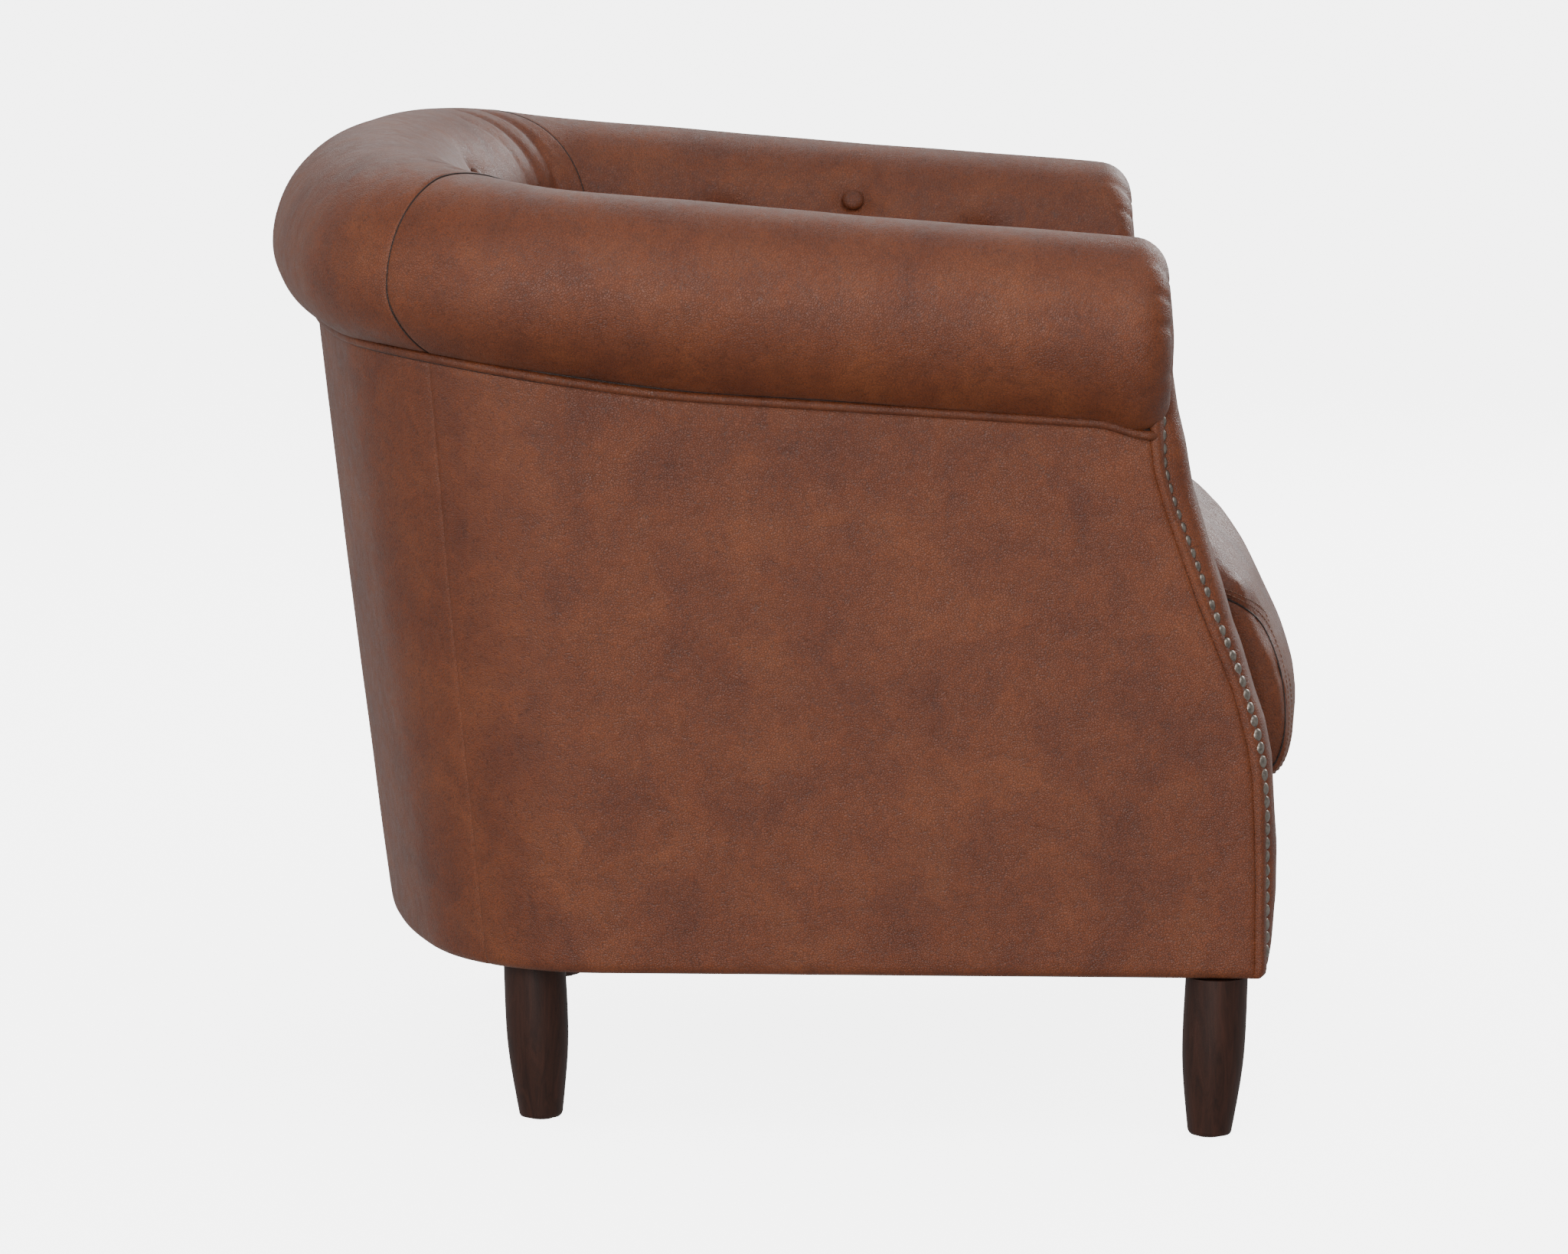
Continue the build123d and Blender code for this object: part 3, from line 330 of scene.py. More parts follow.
def cloth(name, dark, light, thread, rough=0.9):
    """Woven cloth: crossed bands at the thread's pitch, in metres."""
    nodes = Nodes(name)
    here = nodes.place()
    warp, weft = [nodes.add("TexWave", {"Vector": here, "Scale": 1.0 / thread / 6.283, "Distortion": 0.8,
                                        "Detail Scale": 3.0}, "Fac", bands_direction=axis) for axis in "XY"]
    weave = nodes.maths("MULTIPLY", warp, weft)
    stain = nodes.maths("MULTIPLY", nodes.noise(here, 30.0, 4.0), 0.6)
    return nodes.finish({
        "Base Color": nodes.ramp(nodes.maths("MULTIPLY_ADD", weave, 0.5, stain), (0.2, dark), (0.8, light)),
        "Roughness": rough, "Sheen Weight": 0.2, "Normal": nodes.bump(weave, 0.5, thread * 0.3)})


LEATHER = leather("leather_waxed")
LEATHER_TRIM = leather("leather_trim", 0.86, 2.0)
# painted shade: near-black leather for tubes laid in the crevices along seams and welts
SEAM_SHADE = leather("leather_seam_shadow", 0.09, 2.0)
LEG_WOOD = wood("leg_wood_espresso", (0.016, 0.0052, 0.0028), (0.047, 0.0150, 0.0082), 0.42)
RAW_WOOD = wood("frame_wood_raw", (0.42, 0.27, 0.15), (0.62, 0.45, 0.28), 0.6, 0.5)
PEWTER = metal("nail_pewter", (0.15, 0.130, 0.111), (0.35, 0.308, 0.266), 0.25)
STEEL = metal("plated_steel", (0.42, 0.42, 0.41), (0.62, 0.62, 0.60), 0.30)
ZIP_METAL = metal("zip_antique_brass", (0.20, 0.15, 0.08), (0.45, 0.36, 0.22), 0.30)
BLACK_CLOTH = cloth("black_cambric", (0.006, 0.006, 0.007), (0.022, 0.022, 0.024), 0.0009)
WEBBING = cloth("jute_webbing", (0.24, 0.16, 0.08), (0.50, 0.38, 0.22), 0.0022)
WADDING = cloth("polyester_wadding", (0.62, 0.58, 0.48), (0.82, 0.79, 0.70), 0.0030)
ZIP_TAPE = cloth("zip_tape_weave", (0.035, 0.017, 0.010), (0.085, 0.045, 0.028), 0.0010)
THREAD = cloth("stitch_thread", (0.12, 0.050, 0.026), (0.27, 0.125, 0.070), 0.0006, 0.6)
GLIDE = cloth("glide_nylon", (0.05, 0.045, 0.04), (0.10, 0.09, 0.08), 0.0040, 0.5)

FINISH = {"leather": LEATHER, "leg_wood": LEG_WOOD, "frame_wood": RAW_WOOD, "padding": WADDING, "webbing": WEBBING,
          "black_cloth": BLACK_CLOTH, "plated_steel": STEEL, "nail_metal": PEWTER, "glide": GLIDE,
          "zip_tape": ZIP_TAPE, "zip_metal": ZIP_METAL}
for part in frame["record"]["subparts"]:
    node = frame["nodes"][part["node"]]
    node.data.materials.clear()
    node.data.materials.append(FINISH[part["material_slot"]])


# ---- mesh making ----

def make_mesh(name, verts, faces, material=LEATHER, replaced=(), body="chair", slot="leather"):
    """Smooth-shaded piece from vertices in millimetres, riding on a body."""
    mesh = bpy.data.meshes.new(name)
    mesh.from_pydata([tuple(v) for v in np.asarray(verts, float) * MM], [], [tuple(f) for f in faces])
    mesh.validate()
    mesh.update()
    for p in mesh.polygons:
        p.use_smooth = True
    obj = bpy.data.objects.new(name, mesh)
    bpy.context.scene.collection.objects.link(obj)
    mesh.materials.append(material)
    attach(obj, body)
    if replaced:
        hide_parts(*replaced)
    return obj


def grid_piece(name, p, thick, replaced=(), flip=False, **finish):
    """Closed sheet from a grid of points, thick millimetres through; flip says which side its back is on."""
    p = np.array(p, float)
    rows, cols = p.shape[:2]
    normal = np.cross(np.gradient(p, axis=0), np.gradient(p, axis=1))
    normal /= np.maximum(np.linalg.norm(normal, axis=2, keepdims=True), 1e-9)
    back = p + normal * thick if flip else p - normal * thick
    verts = np.concatenate([p.reshape(-1, 3), back.reshape(-1, 3)])
    total = rows * cols
    faces = []
    for i in range(rows - 1):
        for j in range(cols - 1):
            a, b = i * cols + j, (i + 1) * cols + j
            quad = (a, b, b + 1, a + 1)
            if flip:
                quad = quad[::-1]
            faces.append(quad)
            faces.append(tuple(k + total for k in reversed(quad)))
    rim = [(i, 0) for i in range(rows)] + [(rows - 1, j) for j in range(1, cols)]
    rim += [(i, cols - 1) for i in range(rows - 2, -1, -1)] + [(0, j) for j in range(cols - 2, 0, -1)]
    ids = [i * cols + j for i, j in rim]
    for a, b in zip(ids, ids[1:] + ids[:1]):
        quad = (b, a, a + total, b + total)
        faces.append(quad[::-1] if flip else quad)
    return make_mesh(name, verts, faces, replaced=replaced, **finish)


def tube_mesh(path, radius, sides):
    """Vertices and faces of a tube round a path in millimetres."""
    path = np.array(path, float)
    tangent = np.gradient(path, axis=0)
    tangent /= np.linalg.norm(tangent, axis=1, keepdims=True)
    verts, faces = [], []
    side = np.cross(tangent[0], UP)
    if np.linalg.norm(side) < 0.1:
        side = np.cross(tangent[0], np.array([1.0, 0, 0]))
    for point, t in zip(path, tangent):
        side = side - t * (side @ t)
        side = side / np.linalg.norm(side)
        other = np.cross(t, side)
        for k in range(sides):
            a = 2 * math.pi * k / sides
            verts.append(point + radius * (math.cos(a) * side + math.sin(a) * other))
    last = (len(path) - 1) * sides
    for start in range(0, last, sides):
        for k in range(sides):
            a, b = start + k, start + (k + 1) % sides
            faces.append((a, b, b + sides, a + sides))
    faces.append(tuple(range(sides - 1, -1, -1)))
    faces.append(tuple(last + k for k in range(sides)))
    return verts, faces


def tube_piece(name, path, radius, sides, material, replaced=(), body="chair"):
    return make_mesh(name, *tube_mesh(path, radius, sides), material, replaced, body)


def resample(points, step):
    points = np.array(points, float)
    seg = np.linalg.norm(np.diff(points, axis=0), axis=1)
    dist = np.concatenate([[0], np.cumsum(seg)])
    count = max(int(round(dist[-1] / step)), 2)
    marks = np.linspace(0, dist[-1], count + 1)
    return np.stack([np.interp(marks, dist, points[:, k]) for k in range(points.shape[1])], axis=1)


SEAM_SINK = 0.6


def seam_shade_tubes(name, path, radius):
    """Sunk dark tube of painted shade along a seam's crevice on the +X half, and its copy on the other side."""
    for x_sign, side in SIDES:
        tube_piece(name.format(side), handed(resample(path, 4.0), x_sign), radius, 8, SEAM_SHADE)


# ---- rolled arms and back: one skin, parted at the mitres ----

# Rounding of the arm's front edge, and how far its leather reaches on to the face: on the outside of the roll,
# where the roll meets the inside wall, and low on the inside wall.
FRONT_BEND_ROLL, FACE_IN_ROLL = 29.0, 34.0
FRONT_BEND_TOP, FACE_IN_TOP = 16.0, 24.0
FRONT_BEND_WALL, FACE_IN_WALL = 10.0, 17.0
THETA_STEP = 3.0
WALL_STEP = 7.0
WALL_TOP_Z = 660.0
WALL_DEPTH = 411.0          # nominal height of the roll's centre over the deck


def section_rows():
    """Rows across the skin, from the welt over the roll and down the inside wall: kind, value, tuck."""
    rows = [("arc", UNDERCUT - 8.0, 15.0), ("arc", UNDERCUT - 1.0, 7.0), ("arc", UNDERCUT + 1.5, 2.4),
            ("arc", UNDERCUT + 3.0, 0.7)]
    rows += [("arc", a, 0.0) for a in np.arange(UNDERCUT + 5.0, 180.01, THETA_STEP)]
    depth = 4.0
    while WALL_TOP_Z - depth > DECK_Z + 4:
        rows.append(("wall", depth, 0.0))
        depth += WALL_STEP
    rows.append(("deck", DECK_Z + 2.0, 0.0))
    rows.append(("deck", DECK_Z - 2.0, 6.0))
    return rows


ROWS = section_rows()


def front_dip(y):
    """How far the welt and the roll above it drop towards the front end, on the outside."""
    return 7.5 * smooth((-248.0 - y) / 42.0)


def under_arc(y, out_y, r, cz, value):
    """Bend radius of the roll's lower outside quarter, which ends at the welt, and a row's angle on it."""
    low = math.radians(-UNDERCUT)
    meet_y = y + out_y * r * math.cos(low)
    climb = climb_share(meet_y)
    foot = r * math.cos(low) + UNDER_OUT * climb
    drop = r * math.sin(low) - UNDER_LIFT * climb
    bend = ((r - foot) ** 2 + drop ** 2) / (2 * (r - foot))
    value *= math.degrees(math.asin(drop / bend)) / -UNDERCUT
    edge = (UNDERCUT + 1.5) * math.degrees(math.asin(drop / bend)) / -UNDERCUT
    meet = math.degrees(math.asin(max((welt_line(meet_y) + 1.2 - cz) / bend, -1.0)))
    return bend, value * max(meet / edge, 1.0)


def wall_z(row, cz):
    """Height of an inside wall's row under the roll's centre at cz: wall rows spread to fit, deck rows don't."""
    kind, value, _ = row
    return value if kind == "deck" else cz - value * (cz - DECK_Z) / WALL_DEPTH


def skin_point(u, row, front_y):
    """Point and outward normal of the skin before any tufting."""
    kind, value, tuck = row
    c2, n2 = ROLL.at(u, front_y)
    cz = roll_z(c2[1])
    r = roll_r(c2[1])
    if kind == "arc":
        bend = r
        if value < 0:
            bend, value = under_arc(c2[1], n2[1], r, cz, value)
        a = math.radians(value)
        normal = np.array([n2[0] * math.cos(a), n2[1] * math.cos(a), math.sin(a)])
        point = np.array([c2[0] + n2[0] * (r - bend), c2[1] + n2[1] * (r - bend), cz]) + normal * (bend - tuck)
        point[2] -= front_dip(c2[1]) * smooth((-15.0 - value) / 40.0)
        return point, normal
    z = wall_z(row, cz)
    plan = inner_plan(max(z, DECK_Z - 4))
    w2, m2 = plan.at(u, front_y)
    seat = c2 - n2 * r
    high2, _ = inner_plan(cz).at(u, front_y)
    fade = smooth((z - (cz - 150.0)) / 150.0)
    w2 = w2 + (seat - high2) * fade
    normal = np.array([-m2[0], -m2[1], 0.0])
    return np.array([w2[0], w2[1], z]) - normal * tuck, normal


def split_u(row):
    """Where the arm's leather meets the back's, on a row."""
    corner = ROLL.turn
    turn = MITRE_TURN + (MITRE_LOW_TURN - MITRE_TURN) * smooth(-row[1] / 55.0)
    outer = 1.0 + math.radians(turn) / corner
    if row[0] == "arc":
        return outer + (1.0 - outer) * smooth((row[1] - 70.0) / 110.0)
    return 1.0


def wall_y_front(row):
    """Front of the straight part of a row, its rounding and its reach round the face."""
    if row[0] == "arc":
        share = smooth((row[1] - 120.0) / 60.0)
        bend = FRONT_BEND_ROLL + (FRONT_BEND_TOP - FRONT_BEND_ROLL) * share
        inset = FACE_IN_ROLL + (FACE_IN_TOP - FACE_IN_ROLL) * share
        return FACE_Y, bend, inset
    cz = roll_z(FACE_Y)
    z = wall_z(row, cz)
    share = smooth((cz - z) / 110.0)
    bend = FRONT_BEND_TOP + (FRONT_BEND_WALL - FRONT_BEND_TOP) * share
    inset = FACE_IN_TOP + (FACE_IN_WALL - FACE_IN_TOP) * share
    return min(FACE_Y, table_value(NAILS, z) - 1.0), bend, inset


BACK_FRONT_Y = -280.0       # where stations start that are counted from a fixed front

# Buttons on the inner half of the roll, on the +X half: angle round the roll, and Y on the arm or X on the back.
HIGH_ANGLE = 151.0
LOW_ANGLE = 172.0
HIGH_ARM_Y = (-58.0,)
LOW_ARM_Y = (-170.0, 54.0)
HIGH_BACK_X = (103.0,)
LOW_BACK_X = (0.0,)


def nearest_u(test):
    """Station whose roll centre passes a test value."""
    values = np.linspace(0.0, 3.0, 601)
    return min(values, key=lambda u: abs(test(ROLL.at(u, BACK_FRONT_Y)[0])))


def place_tufts():
    spots = []
    for angle, arm_ys, back_xs, kind in ((HIGH_ANGLE, HIGH_ARM_Y, HIGH_BACK_X, "high"),
                                         (LOW_ANGLE, LOW_ARM_Y, LOW_BACK_X, "low")):
        stations = [nearest_u(lambda c, y=y: c[1] - y if c[0] > 250 else 900.0) for y in arm_ys]
        stations += [nearest_u(lambda c, x=x: c[0] - x) for x in back_xs]
        for u in stations:
            spots.append(skin_point(u, ("arc", angle, 0.0), BACK_FRONT_Y) + (kind,))
    return spots


TUFTS = place_tufts()
DIMPLE = 9.0
DIMPLE_R = 24.0


def fold_lines():
    """Folds in the inside leather: start, end, depth, half width."""
    lines = []
    for point, normal, kind in TUFTS:
        across = np.cross(normal, UP)
        across /= np.linalg.norm(across)
        up = np.cross(across, normal)
        reach = 26.0 if kind == "low" else 40.0
        spread = (-9.0, 9.0) if kind == "low" else (-4.0,)
        for k, offset in enumerate(spread):
            a = point + across * offset * 0.6 + up * 10.0
            b = point + across * offset * 1.1 + up * (reach + 9.0 * k)
            lines.append((a, b, 2.4, 5.0))
        for sign in (-1, 1):
            b = point + across * 58.0 * sign - up * 46.0
            lines.append((point + across * 8.0 * sign - up * 6.0, b, 1.7, 7.0))
    return lines


FOLDS = fold_lines()


def corner_folds():
    """Diagonal folds where the inside back's leather gathers into the corner, on the roll's inner half."""
    lines = []
    for u0, u1, a0, a1, depth in ((1.62, 1.30, 98.0, 172.0, 2.6), (1.86, 1.58, 100.0, 168.0, 2.2),
                                  (2.08, 1.90, 112.0, 170.0, 1.5)):
        steps = [skin_point(u0 + (u1 - u0) * t, ("arc", a0 + (a1 - a0) * t, 0.0), BACK_FRONT_Y)[0]
                 for t in np.linspace(0, 1, 7)]
        lines += [(a, b, depth, 5.5) for a, b in zip(steps, steps[1:])]
    return lines


CORNER_FOLDS = corner_folds()


def segment_distance(p, a, b):
    ab = b - a
    t = np.clip(((p - a) @ ab) / (ab @ ab), 0.0, 1.0)
    near = a + t[..., None] * ab
    return np.linalg.norm(p - near, axis=-1), t


def line_distance(p, line):
    """Distance of each point from a line of segments."""
    d = np.full(p.shape[:-1], np.inf)
    for a, b in zip(line[:-1], line[1:]):
        d = np.minimum(d, segment_distance(p, a, b)[0])
    return d


def tuft_depth(p, back_side):
    """How far each grid point sinks, for dimples and folds, in millimetres."""
    sink = np.zeros(p.shape[:-1])
    for point, normal, kind in TUFTS:
        d = np.linalg.norm(p - point, axis=-1)
        sink += DIMPLE * np.exp(-(d / DIMPLE_R) ** 2) + 2.5 * np.exp(-(d / 60.0) ** 2)
    folds = np.zeros_like(sink)
    for lines, fade in ((FOLDS, 0.75), (CORNER_FOLDS if back_side else (), 0.0)):
        for a, b, depth, width in lines:
            d, t = segment_distance(p, a, b)
            folds = np.maximum(folds, depth * np.exp(-(d / width) ** 2) * (1 - fade * t))
    return sink + folds


def soften(points, normals, sink, seed, swell):
    """Moves skin points: sink for tufts, swell for the padding, and faint hand-made unevenness."""
    wave = [ripple(p, 74.0, seed) * 0.9 + ripple(p, 190.0, seed + 7) * 1.3 for p in points.reshape(-1, 3)]
    move = swell + np.reshape(wave, sink.shape) - sink
    return points + normals * move[..., None]


# Distance from a sheet's edge and depth under the surface, where the edge turns under.
HEM = ((0.0, 9.0), (0.0, 2.2), (0.5, 0.8), (1.8, 0.15), (4.5, 0.0))
HEM_END = HEM[-1][0]


def arm_skin():
    """Arm leather on the +X side: face return, rounding, roll, inside wall."""
    grid, normals = [], []
    steps = np.concatenate([np.linspace(0, 0.02, 4)[:-1], np.linspace(0.02, 1.0, 96)])
    for row in ROWS:
        face, bend, inset = wall_y_front(row)
        front_y = face + bend
        end_u = split_u(row)
        base, outward = skin_point(0.0, row, front_y)
        flat = max(inset - bend, 0.0)
        # return on to the face, from the valley at the nails to the rounding
        line, norms = [], []
        for share in (1.0, 0.8, 0.6, 0.4, 0.2):
            dip = (6.0 if row[0] == "arc" else 3.0) * smooth(share)
            line.append(base - outward * (bend + flat * share) + np.array([0, -bend + dip, 0]))
            norms.append(np.array([0.0, -1.0, 0.0]))
        for phi in np.linspace(90.0, 0.0, 10)[:-1]:
            a = math.radians(phi)
            shift = bend * (1 - math.cos(a))
            line.append(base - outward * shift + np.array([0, -bend * math.sin(a), 0]))
            norms.append(outward * math.cos(a) + np.array([0, -math.sin(a), 0]))
        straight = ROLL.start[1] - front_y
        for s in (steps * (straight + CORNER_LEN * max(end_u - 1.0, 0.0)))[1:-1]:
            u = s / straight if s <= straight else 1.0 + (s - straight) / CORNER_LEN
            p, n = skin_point(min(u, end_u), row, front_y)
            line.append(p)
            norms.append(n)
        # the hem's first point takes the place of the line's last
        line.pop()
        norms.pop()
        for back_off, tuck in reversed(HEM):
            p, n = skin_point(end_u - back_off / (CORNER_LEN if end_u > 1.0 else straight), row, front_y)
            line.append(p - n * tuck)
            norms.append(n)
        grid.append(line)
        normals.append(norms)
    return np.array(grid), np.array(normals)


def back_skin():
    """Back leather on the +X half, from the mitre to the middle."""
    grid, normals = [], []
    for row in ROWS:
        begin = split_u(row)
        first = begin + HEM_END / CORNER_LEN
        stations = [(begin + off / CORNER_LEN, tuck) for off, tuck in HEM]
        stations += [(u, 0.0) for u in np.linspace(first, 2.0, 44)[1:]]
        stations += [(u, 0.0) for u in np.linspace(2.0, 3.0, 44)[1:]]
        points = [skin_point(u, row, BACK_FRONT_Y) for u, _ in stations]
        grid.append([p - n * tuck for (p, n), (_, tuck) in zip(points, stations)])
        normals.append([n for _, n in points])
    return np.array(grid), np.array(normals)


def swell_rows(count, amount):
    """Padding swell per row: fullest in the middle of the inside wall, none at the roll."""
    swell = [amount * math.sin(math.pi * min(row[1] / 405.0, 1.0)) if row[0] == "wall" else 0.0 for row in ROWS]
    return np.repeat(np.array(swell)[:, None], count, axis=1)


def end_gathers(points, seed):
    """Small puckers where the roll's leather is gathered on to its round end, fading along the arm."""
    rows, cols = points.shape[:2]
    move = np.zeros((rows, cols))
    for i, row in enumerate(ROWS):
        if row[0] != "arc":
            continue
        a = row[1]
        side = 1.0 + 0.5 * math.sin(math.radians(a * 2.0 + seed))
        wave = math.sin(math.radians(a) * 13.0 + 1.3 * math.sin(math.radians(a) * 5.0 + seed))
        for j in range(min(cols, 34)):
            along = points[i, j, 1] - FACE_Y
            near = math.exp(-(max(along - 6.0, 0.0) / 15.0) ** 2)
            move[i, j] = -1.15 * side * max(wave, 0.0) ** 2 * near
    return move


def build_skin():
    arm, arm_n = arm_skin()
    for x_sign, side in SIDES:
        seed = 3.0 if x_sign < 0 else 11.0
        sink = tuft_depth(arm, False) - end_gathers(arm, seed * 20)
        moved = soften(arm, arm_n, sink, seed, swell_rows(arm.shape[1], 3.5))
        piece = grid_piece(f"arm_{side}_leather", handed(moved, x_sign), 2.6,
                           (f"arm_roll_cover_{side}", f"arm_roll_foam_{side}", f"inside_arm_cover_{side}",
                            f"inside_arm_foam_{side}"), flip=x_sign > 0)
    arcs = [i for i, row in enumerate(ROWS) if row[0] == "arc" and row[2] == 0.0]
    # painted shade: a dark tube sunk in the mitre between the arm's and the back's leather
    seam_shade_tubes("mitre_{}_seam", moved[arcs, -2] + arm_n[arcs, -2] * (2.2 - SEAM_SINK), 0.8)
    back, back_n = back_skin()
    half = soften(back, back_n, tuft_depth(back, True), 23.0, swell_rows(back.shape[1], 6.0))
    piece = grid_piece("back_leather", whole_row(half), 2.6,
                       ("back_roll_cover", "back_roll_foam", "inside_back_cover", "inside_back_foam"), flip=True)


build_skin()


# ---- outside panels ----

def welt_z(y):
    return welt_line(y) - front_dip(y)


SEAM_LOW = (325.0, 242.0)
SEAM_HIGH = (339.0, 283.0)


def seam_u(z):
    """Station of the side and back seam on the outer wall at a height."""
    share = (z - SKIRT_Z) / (620.0 - SKIRT_Z)
    target = SEAM_LOW[1] + (SEAM_HIGH[1] - SEAM_LOW[1]) * share + 1.8
    plan = outer_plan(z)
    low, high = 0.9, 2.0
    for _ in range(30):
        middle = (low + high) / 2
        if plan.at(middle, -300.0)[0][1] < target:
            low = middle
        else:
            high = middle
    return low


def wall_grid(u_of, z_levels, bulge, seed):
    """Grid on the outer wall. u_of gives the stations and tucks, z_levels the shares of height, drops and tucks."""
    grid = []
    for share, drop, v_tuck in z_levels:
        line = []
        for u, u_tuck in u_of(share):
            z = SKIRT_Z + (WELT_Z0 - SKIRT_Z) * share
            for _ in range(3):
                p2, n2 = outer_plan(z).at(u, u_front(z))
                z = SKIRT_Z + (welt_z(p2[1]) - SKIRT_Z) * share + drop
            puff = bulge * math.sin(math.pi * min(max(share, 0), 1)) ** 0.8
            p = np.array([p2[0], p2[1], z])
            puff += 0.5 * ripple(p, 85.0, seed) + 0.7 * ripple(p, 220.0, seed)
            n = np.array([n2[0], n2[1], 0.0])
            line.append(p + n * (puff - u_tuck - v_tuck))
        grid.append(line)
    return grid


def u_front(z):
    return table_value(SEAM, z)


def levels():
    out = [(0.0, 0.0, 24.0), (0.0, 0.0, 9.0), (0.0, 0.5, 4.2), (0.0, 2.0, 1.6), (0.0, 4.5, 0.4), (0.0, 8.0, 0.0)]
    out += [(s, 0.0, 0.0) for s in np.linspace(0.03, 0.975, 62)]
    out += [(1.0, -6.0, 0.2), (1.0, -4.6, 1.4), (1.0, -4.0, 7.0)]
    return out


def nominal_z(share):
    return SKIRT_Z + (WELT_Z0 - SKIRT_Z) * max(min(share, 1), 0)


def side_stations(share):
    """Stations and tucks across the outside arm, from the front seam to the seam with the back."""
    z = nominal_z(share)
    end = seam_u(z)
    side_len, corner_len, _ = outer_plan(z).lengths(u_front(z))
    stations = [(0.0, 9.0), (0.0, 3.4), (0.8 / side_len, 1.5), (2.2 / side_len, 0.45)]
    stations += [(u, 0.0) for u in np.linspace(5.0 / side_len, 1.0, 70)]
    stations += [(u, 0.0) for u in np.linspace(1.0, end - 4.0 / corner_len, 20)[1:]]
    stations += [(end - 1.6 / corner_len, 0.15), (end - 0.5 / corner_len, 0.8), (end, 2.2), (end, 7.0)]
    return stations


def back_stations(share):
    """Stations and tucks across half of the outside back, from its seam to the middle."""
    z = nominal_z(share)
    begin = seam_u(z)
    corner_len = outer_plan(z).lengths(u_front(z))[1]
    stations = [(begin, 7.0), (begin, 2.2), (begin + 0.5 / corner_len, 0.8), (begin + 1.6 / corner_len, 0.15)]
    stations += [(u, 0.0) for u in np.linspace(begin + 4.0 / corner_len, 2.0, 26)]
    stations += [(u, 0.0) for u in np.linspace(2.0, 3.0, 42)[1:]]
    return stations


def build_outside():
    side = np.array(wall_grid(side_stations, levels(), 1.2, 31.0))
    for x_sign, name in SIDES:
        grid_piece(f"outside_arm_{name}_leather", handed(side, x_sign), 2.2, (f"outside_arm_cover_{name}",),
                   flip=x_sign < 0)
    front, rear = [], []
    for line in side[4:-3]:
        z = line[1, 2]
        for seam, point, u, rise in ((front, line[1], 0.0, 3.4), (rear, line[-2], seam_u(z), 2.2)):
            out = outer_plan(z).at(u, u_front(z))[1]
            seam.append(point + np.array([*out, 0.0]) * (rise - SEAM_SINK))
    # painted shade: dark tubes sunk in the valleys of the front and back seams
    seam_shade_tubes("arm_front_{}_seam", front, 1.1)
    seam_shade_tubes("outside_back_{}_seam", rear, 0.9)
    half = np.array(wall_grid(back_stations, levels(), 1.5, 41.0))
    grid_piece("outside_back_leather", whole_row(half), 2.2, ("outside_back_cover",))


build_outside()


# ---- welts ----

WELT_FRONT_Y = -291.0


def welt_path(out, rise):
    """Line along the roll welt, out from the outer wall and above the welt's height."""
    stations = [*np.linspace(0.0, 1.0, 90), *np.linspace(1.0, 2.0, 40)[1:], *np.linspace(2.0, 3.0, 60)[1:]]
    points = []
    for u in stations:
        z = WELT_Z0
        for _ in range(3):
            p2, n2 = outer_plan(z).at(u, WELT_FRONT_Y)
            z = welt_z(p2[1])
        points.append([p2[0] + n2[0] * out, p2[1] + n2[1] * out, z + rise])
    return np.concatenate([points, handed(points[::-1], -1)[1:]])


def build_welts():
    whole = welt_path(2.3, -1.7)
    turn_in = whole[0] + np.array([[-9.0, -7.0, -1.5], [-3.0, -4.5, -0.5]])
    whole = resample(np.concatenate([turn_in, whole, handed(turn_in[::-1], -1)]), 4.0)
    tube_piece("roll_welt_piping", whole, 4.0, 14, LEATHER_TRIM, ("roll_welt",))
    # painted shade: dark tubes in the crevices above and below the welt
    for name, out, rise in (("roll_welt_upper_seam_shadow", 1.9, 2.7), ("roll_welt_lower_seam_shadow", 0.9, -5.7)):
        tube_piece(name, resample(welt_path(out, rise), 5.0), 1.0, 8, SEAM_SHADE)
    border = [(x, -395.5 + 0.4 * math.sin(x / 31.0), DECK_Z + 1.8 + 0.3 * math.sin(x / 47.0))
              for x in np.linspace(-250.0, 250.0, 120)]
    tube_piece("front_border_piping", border, 4.4, 12, LEATHER_TRIM, ("front_border_welt",))


build_welts()


# ---- arm fronts ----

def facing_outline():
    """Nail line of the +X facing in X and Z: up the outside, round the roll, down the inside."""
    zc = roll_z(FACE_Y)
    outer = [(table_value(NAIL_X, z) - 4.0, z) for z in np.arange(SKIRT_Z + 4, 596, 6.0)]
    ring_r = ARM_R - FACE_IN_ROLL
    ring = []
    for a in np.arange(-52.0, 172.1, 4.0):
        r = ring_r + 6.5 * smooth((a - 110.0) / 70.0)
        ring.append((ROLL_HALF + r * math.cos(math.radians(a)), zc + r * math.sin(math.radians(a))))
    inner = []
    for z in np.arange(zc - 2.0, SKIRT_Z + 3, -6.0):
        share = smooth((zc - z) / 110.0)
        inner.append((INNER_HALF + FACE_IN_TOP + (FACE_IN_WALL - FACE_IN_TOP) * share, z))
    return np.array(outer + ring + inner)


NAIL_INSET = 2.6
OUTLINE = resample(facing_outline(), 4.0)


def outline_distance(x, z):
    return line_distance(np.stack([x, z], axis=-1), OUTLINE)


def width_at(z):
    """Inner and outer X of the outline at a height."""
    hits = []
    for (x0, z0), (x1, z1) in zip(OUTLINE[:-1], OUTLINE[1:]):
        if (z0 - z) * (z1 - z) <= 0 and abs(z1 - z0) > 1e-9:
            hits.append(x0 + (x1 - x0) * (z - z0) / (z1 - z0))
    return (min(hits), max(hits)) if len(hits) > 1 else None


